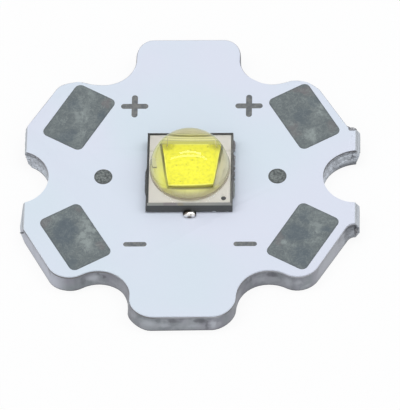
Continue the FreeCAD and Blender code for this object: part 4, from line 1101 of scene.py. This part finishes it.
class STAR_OT_chip(Operator):
    """Finish the plating, the chip, its wires and the diode"""
    bl_idname = "star_board.chip"
    bl_label = "Finish the Chip"

    def execute(self, context):
        settings = context.scene.star_board.package
        dress(["cathode_plating", "anode_land"], plating_material(settings))
        dress(["phosphor_layer"], phosphor_material(settings))
        dress(["led_die"], chip_material(settings))
        dress(["protection_diode"], diode_material())
        gold = gold_material("wire_gold", settings.wire, 0.50)
        for side in SIDES:
            self.add_wire(side, settings.wire_radius, gold)
        return {"FINISHED"}

    def add_wire(self, side, radius, material):
        """A round bond wire along the same arch as its CAD solid."""
        node = "bond_wire_" + side
        low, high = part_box(node)
        foot = DIE_HIGH.z
        arch = (high.y - low.y) / 2 - radius
        start = Vector(((low.x + high.x) / 2, low.y + radius, foot))
        shape = bmesh.new()
        ring = bmesh.ops.create_circle(shape, cap_ends=False, segments=16, radius=radius)
        bmesh.ops.translate(shape, verts=ring["verts"], vec=start)
        turned = bmesh.ops.spin(shape, geom=list(shape.edges), cent=start + Vector((0, arch, 0)), axis=(-1, 0, 0),
                                dvec=(0, 0, 0), angle=math.pi, steps=24, use_merge=False)
        last = [item for item in turned["geom_last"] if isinstance(item, bmesh.types.BMEdge)]
        leg = bmesh.ops.extrude_edge_only(shape, edges=last)
        moved = [item for item in leg["geom"] if isinstance(item, bmesh.types.BMVert)]
        bmesh.ops.translate(shape, verts=moved, vec=(0, 0, low.z - foot))
        bmesh.ops.holes_fill(shape, edges=shape.edges, sides=0)
        bmesh.ops.recalc_face_normals(shape, faces=shape.faces)
        add_piece("round_wire_" + side, shape, [material], [node], 40)


def silicone_material(settings):
    """Clear silicone."""
    graph = new_graph("clear_silicone")
    return graph.surface(Base_Color=settings.clear, Roughness=0.0, IOR=settings.refraction, Transmission_Weight=1.0)


def sawn_material(settings):
    """Silicone's sawn sides: a grey-tan band at the front, dark at the other sides."""
    graph = new_graph("sawn_silicone")
    x, y = graph.axes("XY")
    saw = graph.noise(1.0, 3.0, 0.6, stretch=(1.2, 1.2, 14.0))
    facing = step(y, LENS_FRONT + 0.10, LENS_FRONT + 0.04) * step(abs(x), 2.47, 2.42)
    band = layered(settings.sawn_front,
                   (between(x, -1.50, -0.72, 0.10) * 0.8, (0.34, 0.29, 0.29)),
                   (between(x, -0.66, -0.34, 0.08), (0.47, 0.42, 0.30)),
                   (step(x, 1.1, 2.0) * 0.6, (0.33, 0.33, 0.32)))
    other = blend(step(x, 2.40, 2.48), settings.sawn_dark, (0.29, 0.285, 0.265))
    lines = blend(facing, (0.14, 0.14, 0.14), (0.40, 0.385, 0.35))
    tone = blend(saw * 0.35, blend(facing, other, band), lines)
    return graph.surface(Base_Color=tone, Roughness=0.6, Normal=bump(saw, 0.01))


def foot_material(settings):
    """Silicone at the dome's foot, brownish with soft clouds and paler towards the back."""
    graph = new_graph("brown_silicone")
    (y,) = graph.axes("Y")
    brown_tone = blend(graph.noise(3.0, 3.0) * 0.5, settings.foot_shade, (0.60, 0.55, 0.46))
    tone = blend(step(y, 0.2, -1.9), (0.80, 0.78, 0.68), brown_tone)
    return graph.surface(Base_Color=tone, Roughness=0.20, IOR=settings.refraction, Transmission_Weight=0.6)


class STAR_OT_lens(Operator):
    """Mould the silicone flange and dome"""
    bl_idname = "star_board.lens"
    bl_label = "Mould the Lens"

    def execute(self, context):
        settings = context.scene.star_board.lens
        half = CERAMIC_HIGH.y
        sunk = 0.004 * MM
        bottom = CERAMIC_HIGH.z - sunk
        flange = CERAMIC_HIGH.z + settings.flange_top
        shape = bmesh.new()
        self.spin_dome(shape, settings, flange)
        reach = settings.dome_radius + settings.foot
        rim = [edge for edge in shape.edges
               if edge.is_boundary and all(abs(v.co.xy.length - reach) < 0.01 * MM for v in edge.verts)]
        square = bmesh.ops.create_circle(shape, cap_ends=False, segments=settings.steps, radius=1.0)["verts"]
        for vert in square:
            widest = max(abs(vert.co.x), abs(vert.co.y))
            vert.co = Vector((vert.co.x * half / widest, vert.co.y * half / widest, flange))
        outer = list({edge for vert in square for edge in vert.link_edges})
        bmesh.ops.bridge_loops(shape, edges=rim + outer)
        sides = bmesh.ops.extrude_edge_only(shape, edges=outer)
        walls = [item for item in sides["geom"] if isinstance(item, bmesh.types.BMFace)]
        feet = [item for item in sides["geom"] if isinstance(item, bmesh.types.BMVert)]
        bmesh.ops.translate(shape, verts=feet, vec=(0, 0, bottom - flange))
        bmesh.ops.holes_fill(shape, edges=shape.edges, sides=0)
        for face in shape.faces:
            centre = face.calc_center_median()
            if settings.dome_radius - sunk < centre.xy.length < reach and centre.z > flange + MERGE:
                face.material_index = 2
        for face in walls:
            face.material_index = 1
        bmesh.ops.recalc_face_normals(shape, faces=shape.faces)
        materials = [silicone_material(settings), sawn_material(settings), foot_material(settings)]
        add_piece("silicone_dome", shape, materials, ["silicone_lens"], 30)
        return {"FINISHED"}

    def spin_dome(self, shape, settings, flange):
        """Spin the foot's round, the skirt and the quarter circle about the dome's axis."""
        radius = settings.dome_radius
        foot = settings.foot
        spring = flange + settings.skirt
        profile = []
        for turn in range(FOOT_FACETS + 1):
            sweep = math.radians(90 * turn / FOOT_FACETS)
            profile.append(Vector((radius + foot - foot * math.sin(sweep), 0, flange + foot - foot * math.cos(sweep))))
        start = math.asin((foot - settings.skirt) / radius)
        for turn in range(1, DOME_FACETS + 1):
            rise = start + (math.pi / 2 - start) * turn / DOME_FACETS
            profile.append(Vector((radius * math.cos(rise), 0, spring + radius * math.sin(rise))))
        points = [shape.verts.new(at) for at in profile]
        edges = [shape.edges.new(pair) for pair in zip(points, points[1:])]
        bmesh.ops.spin(shape, geom=points + edges, cent=(0, 0, 0), axis=(0, 0, 1), dvec=(0, 0, 0),
                       angle=2 * math.pi, steps=settings.steps, use_merge=True)
        bmesh.ops.remove_doubles(shape, verts=shape.verts, dist=MERGE)


def white_for_lookers(graph):
    """1 for rays that see the surroundings, straight, mirrored or through glass."""
    path = graph.node("LightPath", {}, {}, "Is Camera Ray")
    return path.larger(path.out("Is Glossy Ray")).larger(path.out("Is Transmission Ray"))


class STAR_OT_stage(Operator):
    """Set up the floor, the even light, the strip lamps and the camera"""
    bl_idname = "star_board.stage"
    bl_label = "Set Up the Studio"

    def execute(self, context):
        settings = context.scene.star_board.studio
        context.scene.view_settings.view_transform = "Standard"
        self.light_world(context.scene, settings)
        self.lay_floor(context.scene, settings)
        self.hang_strips(context.scene, settings)
        self.place_camera(context.scene, settings)
        return {"FINISHED"}

    def light_world(self, scene, settings):
        """An even pale sky that looks white."""
        scene.world = bpy.data.worlds.new("pale_sky")
        graph = Graph(scene.world)
        where = graph.node("TexCoord", {}, {}, "Generated")
        lean = graph.node("VectorMath", {"operation": "DOT_PRODUCT"}, {0: where, 1: (0.0, -0.35, 0.94)}, "Value")
        strength = settings.sky_even + lean.larger(0.0) ** 3.0 * settings.sky_high
        lit = graph.node("Background", {}, {"Color": (0.97, 0.985, 1.0), "Strength": strength})
        seen = graph.node("Background", {}, {"Color": (1.0, 1.0, 1.0), "Strength": settings.white})
        both = graph.node("MixShader", {}, {0: white_for_lookers(graph), 1: lit, 2: seen})
        graph.node("OutputWorld", {}, {"Surface": both})

    def lay_floor(self, scene, settings):
        """A wide pale floor that looks white but keeps a soft shadow."""
        graph = new_graph("pale_floor")
        tone = blend(graph.noise(0.02, 2.0) * 0.05, settings.floor, (0.80, 0.80, 0.81))
        matte = graph.node("BsdfPrincipled", {}, {"Base Color": tone, "Roughness": 0.9, "Specular IOR Level": 0.1})
        glow = graph.node("Emission", {}, {"Color": (1.0, 1.0, 1.0), "Strength": settings.white})
        both = graph.node("MixShader", {}, {0: white_for_lookers(graph) * 0.88, 1: matte, 2: glow})
        graph.node("OutputMaterial", {}, {"Surface": both})
        shape = bmesh.new()
        bmesh.ops.create_grid(shape, x_segments=1, y_segments=1, size=1.5)
        mesh = bpy.data.meshes.new("floor")
        shape.to_mesh(mesh)
        shape.free()
        mesh.materials.append(graph.owner)
        floor = bpy.data.objects.new("floor", mesh)
        scene.collection.objects.link(floor)

    def hang_strips(self, scene, settings):
        """Two long strip lamps over the board, whose glints are the faint arcs on the dome."""
        for name, right, back, size, glow in STRIPS:
            lamp = bpy.data.lights.new(name, "AREA")
            lamp.shape = "RECTANGLE"
            lamp.size = size
            lamp.size_y = STRIP_WIDTH
            lamp.energy = settings.strip_glow * glow * lamp.size * lamp.size_y * math.pi
            strip = bpy.data.objects.new(name, lamp)
            strip.location = (right, back, STRIP_HEIGHT)
            scene.collection.objects.link(strip)

    def place_camera(self, scene, settings):
        """The photograph's camera, from its direction, distance and roll."""
        lens = bpy.data.cameras.new("camera")
        lens.sensor_fit = "AUTO"
        lens.sensor_width = 36.0
        lens.lens = settings.focal_pixels / max(PHOTO_SIZE) * lens.sensor_width
        lens.clip_end = 10.0
        camera = bpy.data.objects.new("camera", lens)
        level = Vector((math.sin(settings.azimuth), -math.cos(settings.azimuth), 0.0)) * math.cos(settings.elevation)
        back = level + Vector((0, 0, math.sin(settings.elevation)))
        right = Vector((math.cos(settings.azimuth), math.sin(settings.azimuth), 0.0))
        up = back.cross(right)
        turned = Matrix.Rotation(settings.roll, 3, back)
        axes = Matrix((turned @ right, turned @ up, back)).transposed()
        camera.matrix_world = Matrix.Translation(Vector(settings.aim) + back * settings.distance) @ axes.to_4x4()
        scene.collection.objects.link(camera)
        scene.camera = camera


class STAR_PT_panel(Panel):
    """Lists the steps that dress the board"""
    bl_idname = "STAR_PT_panel"
    bl_label = "Star Board"
    bl_space_type = "VIEW_3D"
    bl_region_type = "UI"
    bl_category = "Star Board"

    def draw(self, context):
        for operator in OPERATORS:
            self.layout.operator(operator.bl_idname)


SETTINGS = (BoardSettings, PackageSettings, LensSettings, StudioSettings, StarBoardSettings)
OPERATORS = (STAR_OT_core, STAR_OT_layers, STAR_OT_package, STAR_OT_chip, STAR_OT_lens, STAR_OT_stage)


def register():
    """Add the settings, the operators and the panel."""
    for item in (*SETTINGS, *OPERATORS, STAR_PT_panel):
        bpy.utils.register_class(item)
    bpy.types.Scene.star_board = PointerProperty(type=StarBoardSettings)


def unregister():
    """Take them away again."""
    del bpy.types.Scene.star_board
    for item in reversed((*SETTINGS, *OPERATORS, STAR_PT_panel)):
        bpy.utils.unregister_class(item)


def main():
    """Dress the board piece by piece."""
    register()
    bpy.ops.star_board.core()
    bpy.ops.star_board.layers()
    bpy.ops.star_board.package()
    bpy.ops.star_board.chip()
    bpy.ops.star_board.lens()
    bpy.ops.star_board.stage()


if __name__ == "__main__":
    main()
